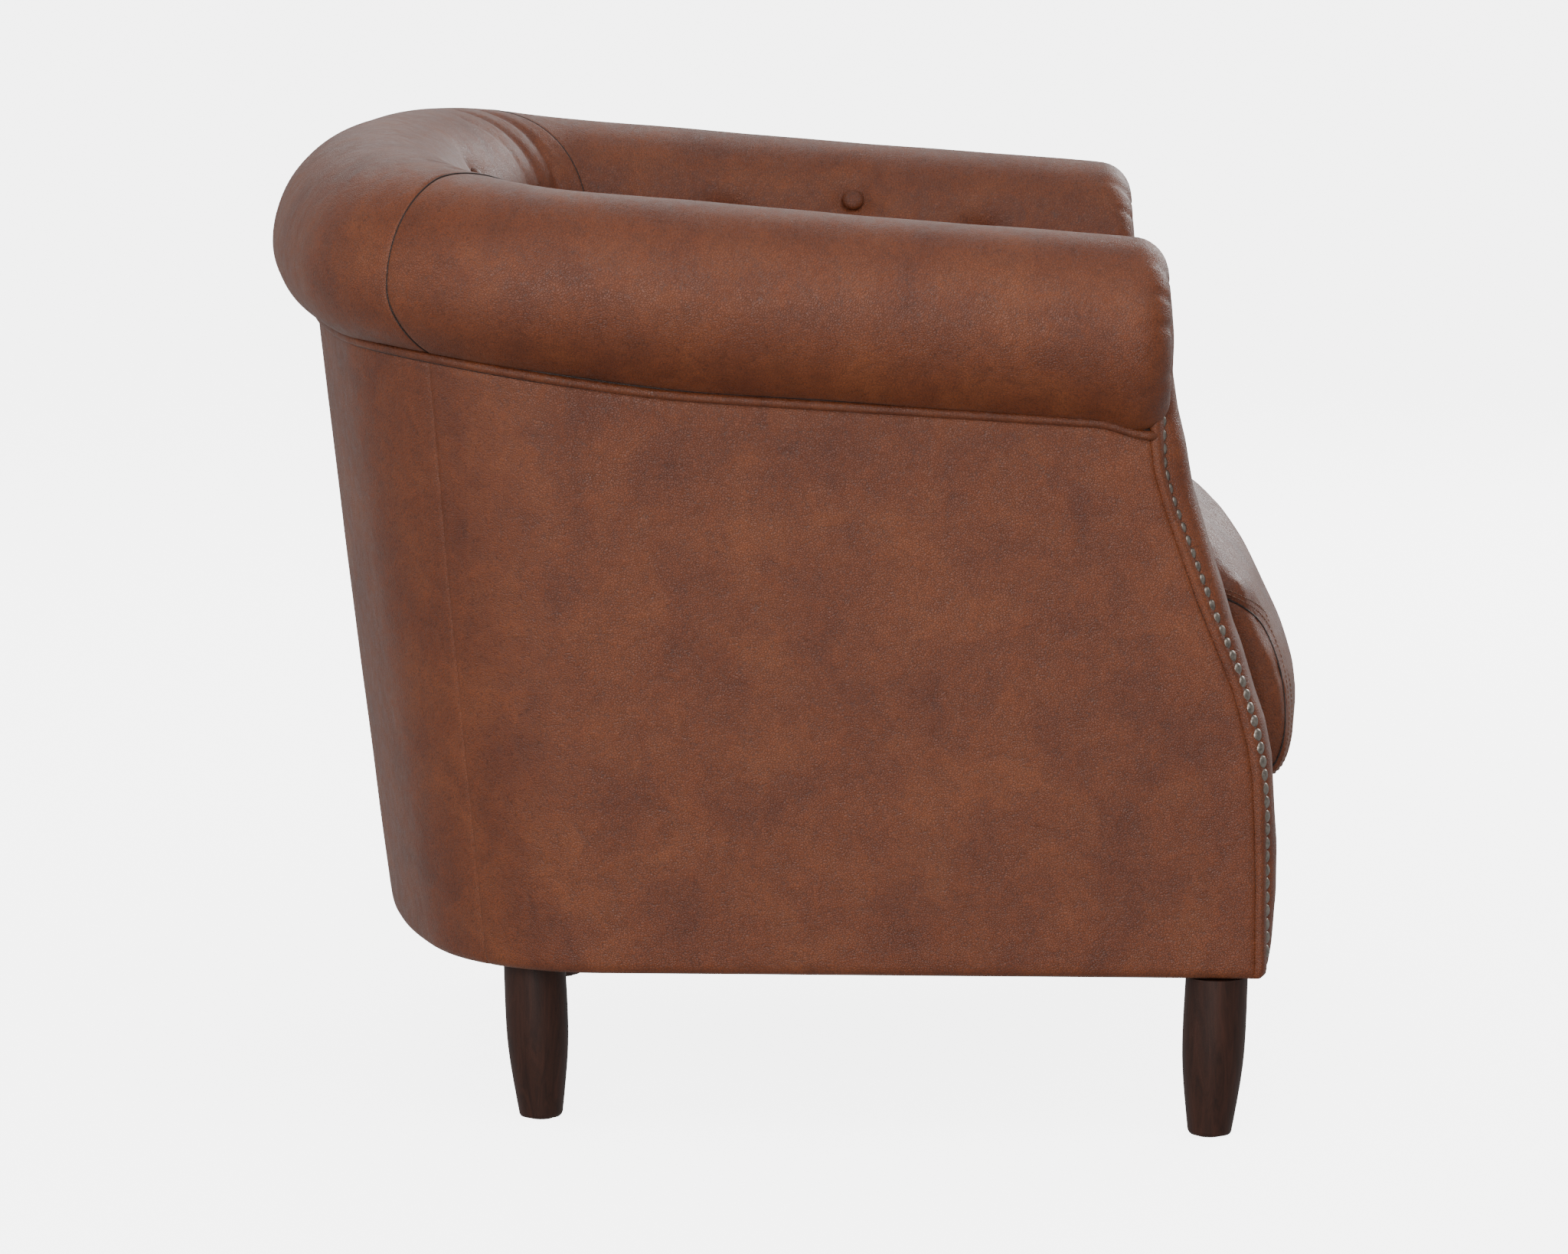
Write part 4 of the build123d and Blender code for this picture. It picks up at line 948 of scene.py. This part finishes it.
def build_facings():
    """Padded leather on each arm's front, inside its row of nails."""
    top = OUTLINE[:, 1].max()
    zc = roll_z(FACE_Y)
    low = list(np.arange(SKIRT_Z + 5.0, zc, 5.0))
    fan = [zc + (top - zc) * math.sin(t) for t in np.linspace(0.0, math.pi / 2 - 0.09, 18)]
    columns = 41
    ts = 0.5 - 0.5 * np.cos(np.linspace(0, math.pi, columns))
    rows = []
    for z in low + fan[1:]:
        width = width_at(z)
        if width:
            rows.append(np.stack([width[0] + (width[1] - width[0]) * ts, np.full(columns, z)], axis=1))
    grid = np.array(rows)
    x, z = grid[..., 0], grid[..., 1]
    d = outline_distance(x, z)
    edge = table_value(NAILS, z) + 1.5
    lift = np.sqrt(np.clip(1 - (1 - np.clip(d / 17.0, 0, 1)) ** 2, 0, 1))
    y = edge + (table_value(CROWN, z) - edge) * lift - 2.2 * smooth_array((d - 8.0) / 40.0)
    for i, j in np.ndindex(x.shape):
        y[i, j] += 0.5 * ripple((x[i, j], 0, z[i, j]), 60.0, 51.0) * lift[i, j]
    p = np.stack([x, y, z], axis=-1)
    # lower edge turns under
    under = [p[0] + np.array(step) for step in ((0, 16.0, -4.6), (0, 5.0, -4.6), (0, 1.6, -3.4), (0, 0.3, -1.4))]
    p = np.concatenate([under, p])
    for x_sign, side in SIDES:
        piece = grid_piece(f"arm_front_{side}_facing", handed(p, x_sign), 2.2, (f"arm_front_cover_{side}",),
                           flip=x_sign < 0)


build_facings()


def build_front_bands():
    """Leather band that rounds the outer front corner, from the side seam to the nails."""
    zs = [SKIRT_Z, SKIRT_Z, SKIRT_Z + 0.6, SKIRT_Z + 2.5, SKIRT_Z + 6.0]
    tucks = [14.0, 5.0, 2.2, 0.6, 0.0]
    a_end = math.radians(78.0)
    rows = []
    for z, tuck in list(zip(zs, tucks)) + [(z, 0.0) for z in np.arange(SKIRT_Z + 11.0, 604.0, 6.0)]:
        seam_y = table_value(SEAM, z)
        nail_y = table_value(NAILS, z)
        nail_x = table_value(NAIL_X, z) - NAIL_INSET
        (sx, sy), _ = outer_plan(z).at(0.0, seam_y)
        line = [(sx - t, sy - off) for off, t in ((0.0, 9.0), (0.0, 3.4), (0.7, 1.2), (1.8, 0.1))]
        start_y = seam_y - 2.6
        depth_x = sx - nail_x + 1.0
        for a in np.linspace(0.0, 78.0, 12):
            r = math.radians(a)
            round_out = 1.3 * math.sin(math.pi * min(a / 60.0, 1.0))
            line.append((sx + round_out - depth_x * (1 - math.cos(r)) / (1 - math.cos(a_end)),
                         start_y - (start_y - nail_y) * math.sin(r) / math.sin(a_end)))
        line += [(nail_x - 5.0, nail_y + 2.5), (nail_x - 12.0, nail_y + 8.0)]
        rows.append([(x - tuck, y + tuck, z) for x, y in line])
    p = np.array(rows)
    for i, j in np.ndindex(p.shape[:2]):
        p[i, j, 0] += 0.35 * ripple(p[i, j], 26.0, 61.0)
    for x_sign, side in SIDES:
        grid_piece(f"arm_front_{side}_band", handed(p, x_sign), 2.0, flip=x_sign > 0)


build_front_bands()


def build_inner_bands():
    """Leather return on the inner front edge of each arm, beside the front border."""
    rows = [(SKIRT_Z, 12.0), (SKIRT_Z, 4.0), (SKIRT_Z + 2.4, 1.0)]
    rows += [(z, 0.0) for z in np.arange(SKIRT_Z + 7.0, DECK_Z + 16.0, 6.0)]
    grid = []
    for z, tuck in rows:
        nail_y = table_value(NAILS, z)
        line = [(250.4, nail_y + 26.0)]
        for r in np.radians(np.linspace(0.0, 90.0, 10)):
            line.append((250.4 + 11.0 * (1 - math.cos(r)), nail_y + 9.0 - 10.0 * math.sin(r)))
        line += [(264.5, nail_y - 0.4), (268.0, nail_y + 1.5), (276.0, nail_y + 6.0)]
        grid.append([(x, y + tuck, z) for x, y in line])
    for x_sign, side in SIDES:
        grid_piece(f"arm_front_{side}_inner_band", handed(grid, x_sign), 2.0, flip=x_sign < 0)


build_inner_bands()

NAIL_PITCH = 11.1
NAIL_R = 5.9
NAIL_H = 3.6


def dome(radius, height, rings=6, sides=18):
    """Profile-turned nailhead with a thin rim, axis +Z."""
    profile = [(radius * 0.96, -0.8), (radius, -0.1), (radius, 0.35)]
    for k in range(1, rings):
        a = math.pi / 2 * k / rings
        profile.append((radius * math.cos(a) * 0.985, 0.35 + (height - 0.35) * math.sin(a)))
    verts = []
    for r, h in profile:
        for s in range(sides):
            a = 2 * math.pi * s / sides
            verts.append((r * math.cos(a), r * math.sin(a), h))
    verts += [(0, 0, height), (0, 0, -0.8)]
    faces = []
    for i in range(len(profile) - 1):
        for s in range(sides):
            a, b = i * sides + s, i * sides + (s + 1) % sides
            faces.append((a, b, b + sides, a + sides))
    last = (len(profile) - 1) * sides
    top, base = len(verts) - 2, len(verts) - 1
    for s in range(sides):
        t = (s + 1) % sides
        faces.append((last + s, last + t, top))
        faces.append((t, s, base))
    return np.array(verts), faces


def place(verts, origin, axis):
    """Turns a +Z mesh to an axis and moves it."""
    axis = axis / np.linalg.norm(axis)
    ref = UP if abs(axis[2]) < 0.9 else np.array([1.0, 0, 0])
    u = np.cross(ref, axis)
    u /= np.linalg.norm(u)
    v = np.cross(axis, u)
    return origin + verts[:, :1] * u + verts[:, 1:2] * v + verts[:, 2:] * axis


def nail_spots():
    """Nail places and outward axes on the +X arm front, head to head along the sloping front."""
    path = []
    for x, z in OUTLINE[4:-30]:
        y = table_value(NAILS, z)
        if x > 340.0 and z < 596.0:
            path.append((table_value(NAIL_X, z) - NAIL_INSET, y + 0.4, z))
        else:
            path.append((x, y - (0.2 if z > 596.0 else 0.0), z))
    spots = []
    for i, point in enumerate(resample(path, NAIL_PITCH)):
        turn = 0.0
        if point[0] > 340.0 and point[2] < 596.0:
            turn = math.radians(8.0 + 20.0 * smooth((560.0 - point[2]) / 140.0))
        spots.append((point, np.array([math.sin(turn), -math.cos(turn), 0.0]), i))
    return spots


def build_nails():
    shape, shape_faces = dome(NAIL_R, NAIL_H)
    for x_sign, side in SIDES:
        verts, faces = [], []
        for origin, axis, i in nail_spots():
            axis = axis + 0.07 * np.array([math.sin(i * 2.4), 0.0, math.cos(i * 3.1)])
            start = len(verts)
            verts += list(handed(place(shape, origin + axis * 0.4, axis), x_sign))
            faces += [tuple(start + k for k in f)[::x_sign] for f in shape_faces]
        make_mesh(f"nailheads_{side}", verts, faces, PEWTER, (f"nailhead_trim_{side}",), slot="nail_metal")


build_nails()


# ---- front border ----

def build_border():
    """Crowned front border between the arms, pulled in at both ends."""
    rows = []
    levels_z = [(SKIRT_Z, 16.0), (SKIRT_Z, 6.0), (SKIRT_Z + 0.6, 2.6), (SKIRT_Z + 2.4, 1.0), (SKIRT_Z + 6.0, 0.1)]
    levels_z += [(z, 0.0) for z in np.linspace(SKIRT_Z + 10, DECK_Z - 5, 20)] + [(DECK_Z - 2.0, 1.0), (DECK_Z, 6.0)]
    for z, tuck in levels_z:
        line = []
        for x in np.linspace(-INNER_HALF, INNER_HALF, 101):
            side = INNER_HALF - abs(x)
            pull = 8.0 * (1 - math.sqrt(1 - (1 - min(side / 16.0, 1.0)) ** 2))
            puff = 3.0 * math.sin(math.pi * (z - SKIRT_Z) / (DECK_Z - SKIRT_Z)) * min(side / 60.0, 1.0)
            y = -393.5 - puff + tuck + pull + 0.7 * ripple((x, 0, z), 70.0, 71.0)
            line.append((x, y, z))
        rows.append(line)
    piece = grid_piece("front_border_leather", rows, 2.2, ("front_border_cover",), flip=True)


build_border()


# ---- buttons ----

def build_buttons():
    shape, shape_faces = dome(9.6, 5.2, 8, 28)
    verts, faces = [], []
    for x_sign, _ in SIDES:
        for point, normal, _ in TUFTS:
            if x_sign < 0 and abs(point[0]) < 5.0:
                continue        # the middle button is its own mirror image
            start = len(verts)
            verts += list(place(shape, handed(point - normal * (DIMPLE - 1.2), x_sign), handed(normal, x_sign)))
            faces += [tuple(start + k for k in f) for f in shape_faces]
    make_mesh("tufting_buttons_leather", verts, faces, LEATHER_TRIM, ("tufting_buttons",))


build_buttons()


# ---- seat cushion ----

CROWN_LINE = ((-352, 478.5), (-368, 465), (-378, 452), (-394, 427), (-407, 400), (-420, 373), (-429, 346),
              (-433, 319), (-433.5, 296), (-429, 280), (-420, 271), (-406, 267))


def cushion_section():
    """Side profile at the middle of the cushion, from the rear bottom over the top to the front bottom."""
    rear = [(150, 300), (157, 350), (156, 400), (148, 430), (130, 449)]
    top = [(90, 468), (20, 484), (-80, 494), (-200, 498.5), (-285, 496.5), (-330, 487)]
    under = [(-380, 266), (0, 266), (120, 266), (143, 275), (150, 300)]
    return np.array([*rear, *top, *CROWN_LINE, *under], float)


CUSHION_HALF = 246.5
SHOULDER_Z = 433.0          # height at which the crowned top meets the sides


def cushion_mesh():
    """Cushion as a closed grid: loops of the side profile, swept across the width."""
    profile = resample(cushion_section(), 6.0)[:-1]
    plan = Plan(CUSHION_PLAN)
    edge = np.array([plan.at(u, -440.0)[0] for u in np.linspace(1.0, 3.0, 160)])
    loops = []
    for s in np.linspace(-1, 1, 81):
        x = CUSHION_HALF * math.sin(s * math.pi / 2)
        side = abs(x) / CUSHION_HALF
        rear = float(np.interp(abs(x), edge[::-1, 0], edge[::-1, 1])) - 158.0
        ring = []
        for y, z in profile:
            if z > SHOULDER_Z:
                z = SHOULDER_Z + (z - SHOULDER_Z) * math.sqrt(max(1 - side ** 3.2, 0.0))
            shift = 0.0
            if y < -330.0:
                # the nose pulls back towards the side seam
                pull = 1 - math.sqrt(max(1 - side ** 9.0, 0.0))
                shift = (pull * 9.0 + 2.5 + 12.0 * side ** 2) * min((-330.0 - y) / 80.0, 1.0)
            if y > -200.0:
                shift = rear * min((y + 200.0) / 358.0, 1.0)
            ring.append((x, y + shift, z))
        loops.append(ring)
    rows, cols = np.shape(loops)[:2]
    faces = []
    for i in range(rows - 1):
        for j in range(cols):
            a, b = i * cols + j, i * cols + (j + 1) % cols
            faces.append((a, b, b + cols, a + cols))
    faces.append(tuple(range(cols - 1, -1, -1)))
    faces.append(tuple((rows - 1) * cols + j for j in range(cols)))
    return np.reshape(loops, (-1, 3)), faces


SIDE_SEAM = ((120.0, 424.0), (0.0, 428.0), (-200.0, 430.0), (-330.0, 430.0), (-357.0, 426.5), (-378.0, 416.0),
             (-394.0, 398.0), (-405.0, 372.0), (-410.5, 345.0), (-411.5, 318.0), (-408.0, 298.0), (-402.0, 284.0),
             (-390.0, 276.0), (-300.0, 274.0), (0.0, 274.0), (110.0, 276.0))


def side_seam(step=3.0):
    line = np.array(SIDE_SEAM)
    for _ in range(2):
        cut = [line[0]]
        for a, b in zip(line[:-1], line[1:]):
            cut += [a * 0.75 + b * 0.25, a * 0.25 + b * 0.75]
        line = np.array(cut + [line[-1]])
    return resample(line, step)


CLOTH_FRAMES = 20


def baked_mesh(obj):
    """Mesh of an object with its modifiers applied."""
    return bpy.data.meshes.new_from_object(obj.evaluated_get(bpy.context.evaluated_depsgraph_get()))


def simulate(obj, pressure, cap, voxel):
    """Remeshes a piece, inflates it as cloth and gives its points, kept within cap of their start."""
    bpy.context.view_layer.objects.active = obj
    remesh = obj.modifiers.new("Remesh", "REMESH")
    remesh.mode = "VOXEL"
    remesh.voxel_size = voxel
    mesh = baked_mesh(obj)
    obj.modifiers.clear()
    old = obj.data
    obj.data = mesh
    start = np.array([v.co for v in mesh.vertices])
    mod = obj.modifiers.new("Cloth", "CLOTH")
    mod.settings.quality = 5
    mod.settings.use_pressure = True
    mod.settings.uniform_pressure_force = pressure
    mod.settings.effector_weights.gravity = 0.0
    mod.settings.mass = 0.4
    mod.settings.tension_stiffness = 30.0
    mod.settings.compression_stiffness = 30.0
    mod.settings.bending_stiffness = 4.0
    mod.collision_settings.use_collision = False
    mod.point_cache.frame_start = 1
    mod.point_cache.frame_end = CLOTH_FRAMES
    for f in range(1, CLOTH_FRAMES + 1):
        bpy.context.scene.frame_set(f)
    done = baked_mesh(obj)
    moved = np.array([v.co for v in done.vertices])
    obj.modifiers.clear()
    bpy.context.scene.frame_set(1)
    if len(moved) == len(start):
        shift = moved - start
        size = np.linalg.norm(shift, axis=1, keepdims=True)
        limit = cap * np.tanh(size / cap)
        start = start + shift * np.where(size > 1e-9, limit / np.maximum(size, 1e-9), 0)
    bpy.data.meshes.remove(done)
    bpy.data.meshes.remove(old)
    return start


def set_points(mesh, points):
    mesh.vertices.foreach_set("co", np.asarray(points).astype(np.float32).ravel())
    mesh.update()


def build_cushion():
    verts, faces = cushion_mesh()
    mesh = bpy.data.meshes.new("seat_cushion_leather")
    mesh.from_pydata([tuple(v) for v in np.asarray(verts) * MM], [], faces)
    mesh.update()
    obj = bpy.data.objects.new("seat_cushion_leather", mesh)
    bpy.context.scene.collection.objects.link(obj)
    swollen = simulate(obj, 4.0, 0.004, 0.0055)
    set_points(obj.data, swollen)
    obj.modifiers.new("Smooth surface", "SUBSURF").levels = 1
    finer = baked_mesh(obj)
    obj.modifiers.clear()
    obj.data = finer
    co = np.array([v.co for v in finer.vertices]) / MM
    # a groove along the seam of each side panel
    d = line_distance(co[:, 1:], side_seam(2.0))
    x = co[:, 0]
    co[:, 0] -= np.sign(x) * np.where(np.abs(x) > CUSHION_HALF - 16.0, 2.2 * np.exp(-(d / 2.6) ** 2), 0.0)
    # clear of the arms and of the deck
    co[:, 0] = np.clip(co[:, 0], -CUSHION_HALF - 0.6, CUSHION_HALF + 0.6)
    co[:, 2] = np.maximum(co[:, 2], DECK_Z + 3.5)
    wave = np.array([ripple(p, 90.0, 81.0) * 1.4 + ripple(p, 38.0, 83.0) * 0.5 for p in co])
    co[:, 2] += wave * smooth_array((co[:, 2] - 430.0) / 40.0)
    set_points(finer, co * MM)
    for poly in finer.polygons:
        poly.use_smooth = True
    finer.materials.clear()
    finer.materials.append(LEATHER)
    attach(obj, "seat_cushion")
    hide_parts("cushion_cover", "cushion_core")
    return obj


cushion = build_cushion()


def stitch_row(path, normals, pitch, length, radius):
    """Short thread stitches along a path: vertices and faces."""
    points = np.array(path)
    seg = np.linalg.norm(np.diff(points, axis=0), axis=1)
    dist = np.concatenate([[0], np.cumsum(seg)])
    verts, faces = [], []
    for s in np.arange(pitch, dist[-1] - pitch, pitch):
        n = np.array([np.interp(s, dist, normals[:, c]) for c in range(3)])
        ends = []
        for k in np.linspace(-0.5, 0.5, 5):
            q = np.array([np.interp(s + k * length, dist, points[:, c]) for c in range(3)])
            ends.append(q + n * (0.55 * math.cos(k * math.pi) - 0.15))
        v, f = tube_mesh(ends, radius, 6)
        faces += [tuple(len(verts) + i for i in g) for g in f]
        verts += v
    return verts, faces


def build_cushion_stitches():
    """Dark tube of painted shade in each side's seam groove, and two rows of stitches outside it, laid on the
    cushion's surface.
    """
    seam = side_seam(3.0)
    tangent = np.gradient(seam, axis=0)
    tangent /= np.linalg.norm(tangent, axis=1, keepdims=True)
    outward = np.stack([-tangent[:, 1], tangent[:, 0]], axis=1)
    outward *= np.sign(((seam - np.array([-140.0, 350.0])) * outward).sum(axis=1))[:, None]
    verts, faces = [], []
    target = cushion.evaluated_get(bpy.context.evaluated_depsgraph_get())
    for x_sign, side in SIDES:
        for offset in (0.0, 4.2, 7.4):
            path, normals = [], []
            for y, z in seam + outward * offset:
                origin = Vector((x_sign * 0.30, y * MM, z * MM))
                hit, location, normal, _ = target.ray_cast(origin, Vector((-x_sign, 0, 0)))
                if hit and abs(location.x) > 0.2:
                    path.append(np.array(location) / MM)
                    normals.append(np.array(normal))
            if offset == 0.0:
                # painted shade: a dark tube sunk in the seam groove
                tube_piece(f"seat_cushion_seam_shadow_{side}", np.array(path) - np.array(normals) * 0.2, 1.0, 8, SEAM_SHADE,
                           body="seat_cushion")
            else:
                v, f = stitch_row(path, np.array(normals), 4.4, 3.2, 0.42)
                faces += [tuple(len(verts) + k for k in g) for g in f]
                verts += v
    make_mesh("seat_cushion_stitches", verts, faces, THREAD, body="seat_cushion")


build_cushion_stitches()


# ---- seat deck ----

def build_deck():
    """Seat deck under the cushion: a leather lip at the front and black cloth behind it."""
    front_y, rear_y = -378.0, 165.0
    rows = []
    plan = inner_plan(DECK_Z)
    corner_y = plan.at(1.0, -380.0)[0][1] - 6
    for t in np.linspace(0, 1, 60):
        line = []
        for s in np.linspace(-1, 1, 61):
            y = front_y + t * (rear_y - front_y)
            half = 248.0
            if y > corner_y:
                rel = y - plan.centre[1]
                corner = plan.centre[0] + math.sqrt(max(plan.r_corner ** 2 - rel * rel, 0.0))
                half = min(half, corner if rel < plan.r_corner else plan.centre[0])
            x = s * half * 0.995
            y = min(y, plan.back_centre[1] + math.sqrt(plan.r_back ** 2 - x * x) - 2.0)
            sag = 2.0 * math.cos(s * math.pi / 2) * math.sin(math.pi * t)
            line.append((x, y, DECK_Z + 1.2 - sag))
        rows.append(line)
    lip = 14
    grid_piece("seat_deck_lip_leather", rows[:lip], 1.0)
    grid_piece("seat_deck_cloth", rows[lip - 1:], 1.0, ("seat_deck_cover", "seat_deck_pad"), material=BLACK_CLOTH,
               slot="black_cloth")


build_deck()


# ---- camera, lights, floor ----

def add_object(name, data):
    obj = bpy.data.objects.new(name, data)
    bpy.context.scene.collection.objects.link(obj)
    return obj


def add_area(name, location, target, size, power):
    data = bpy.data.lights.new(name, "AREA")
    data.shape = "RECTANGLE"
    data.size, data.size_y = size
    data.energy = power
    obj = add_object(name, data)
    obj.location = location
    obj.rotation_euler = (Vector(target) - Vector(location)).to_track_quat("-Z", "Y").to_euler()


def build_studio():
    camera_data = bpy.data.cameras.new("photo_camera")
    camera_data.sensor_width = 36.0
    camera_data.sensor_fit = "HORIZONTAL"
    camera_data.lens = 168.98
    camera_data.clip_end = 200.0
    camera = add_object("photo_camera", camera_data)
    camera.location = (-6.220, 0.0018, 1.3244)
    camera.rotation_euler = (math.radians(90.0 - 8.79), 0.0, math.radians(-90.0))
    bpy.context.scene.camera = camera

    size = 60.0
    mesh = bpy.data.meshes.new("studio_floor")
    mesh.from_pydata([(-size, -size, 0), (size, -size, 0), (size, size, 0), (-size, size, 0)], [], [(0, 1, 2, 3)])
    mesh.materials.append(Nodes("studio_floor_white").finish({
        "Base Color": (0.92, 0.92, 0.92, 1), "Roughness": 0.9, "Specular IOR Level": 0.1,
        "Emission Color": (1, 1, 1, 1), "Emission Strength": 5.0}))
    floor = add_object("studio_floor", mesh)
    floor.visible_diffuse = False
    floor.visible_glossy = False

    world = bpy.data.worlds.new("studio_world")
    world.use_nodes = True
    world.node_tree.nodes["Background"].inputs["Color"].default_value = (1, 1, 1, 1)
    world.node_tree.nodes["Background"].inputs["Strength"].default_value = 0.48
    bpy.context.scene.world = world
    add_area("key_top", (-1.6, -1.0, 3.4), (0, 0, 0.4), (2.6, 2.6), 45.0)
    add_area("camera_side", (-4.4, 0.7, 1.6), (0, 0, 0.4), (2.4, 2.0), 118.0)
    add_area("rear_side", (-1.8, 3.6, 1.5), (0, 0.2, 0.5), (2.2, 1.6), 36.0)
    add_area("far_rim", (2.6, 0.6, 2.6), (0, 0, 0.5), (2.0, 2.0), 20.0)
    add_area("far_front", (3.2, -2.2, 1.9), (0, -0.35, 0.45), (2.4, 1.4), 78.0)


build_studio()
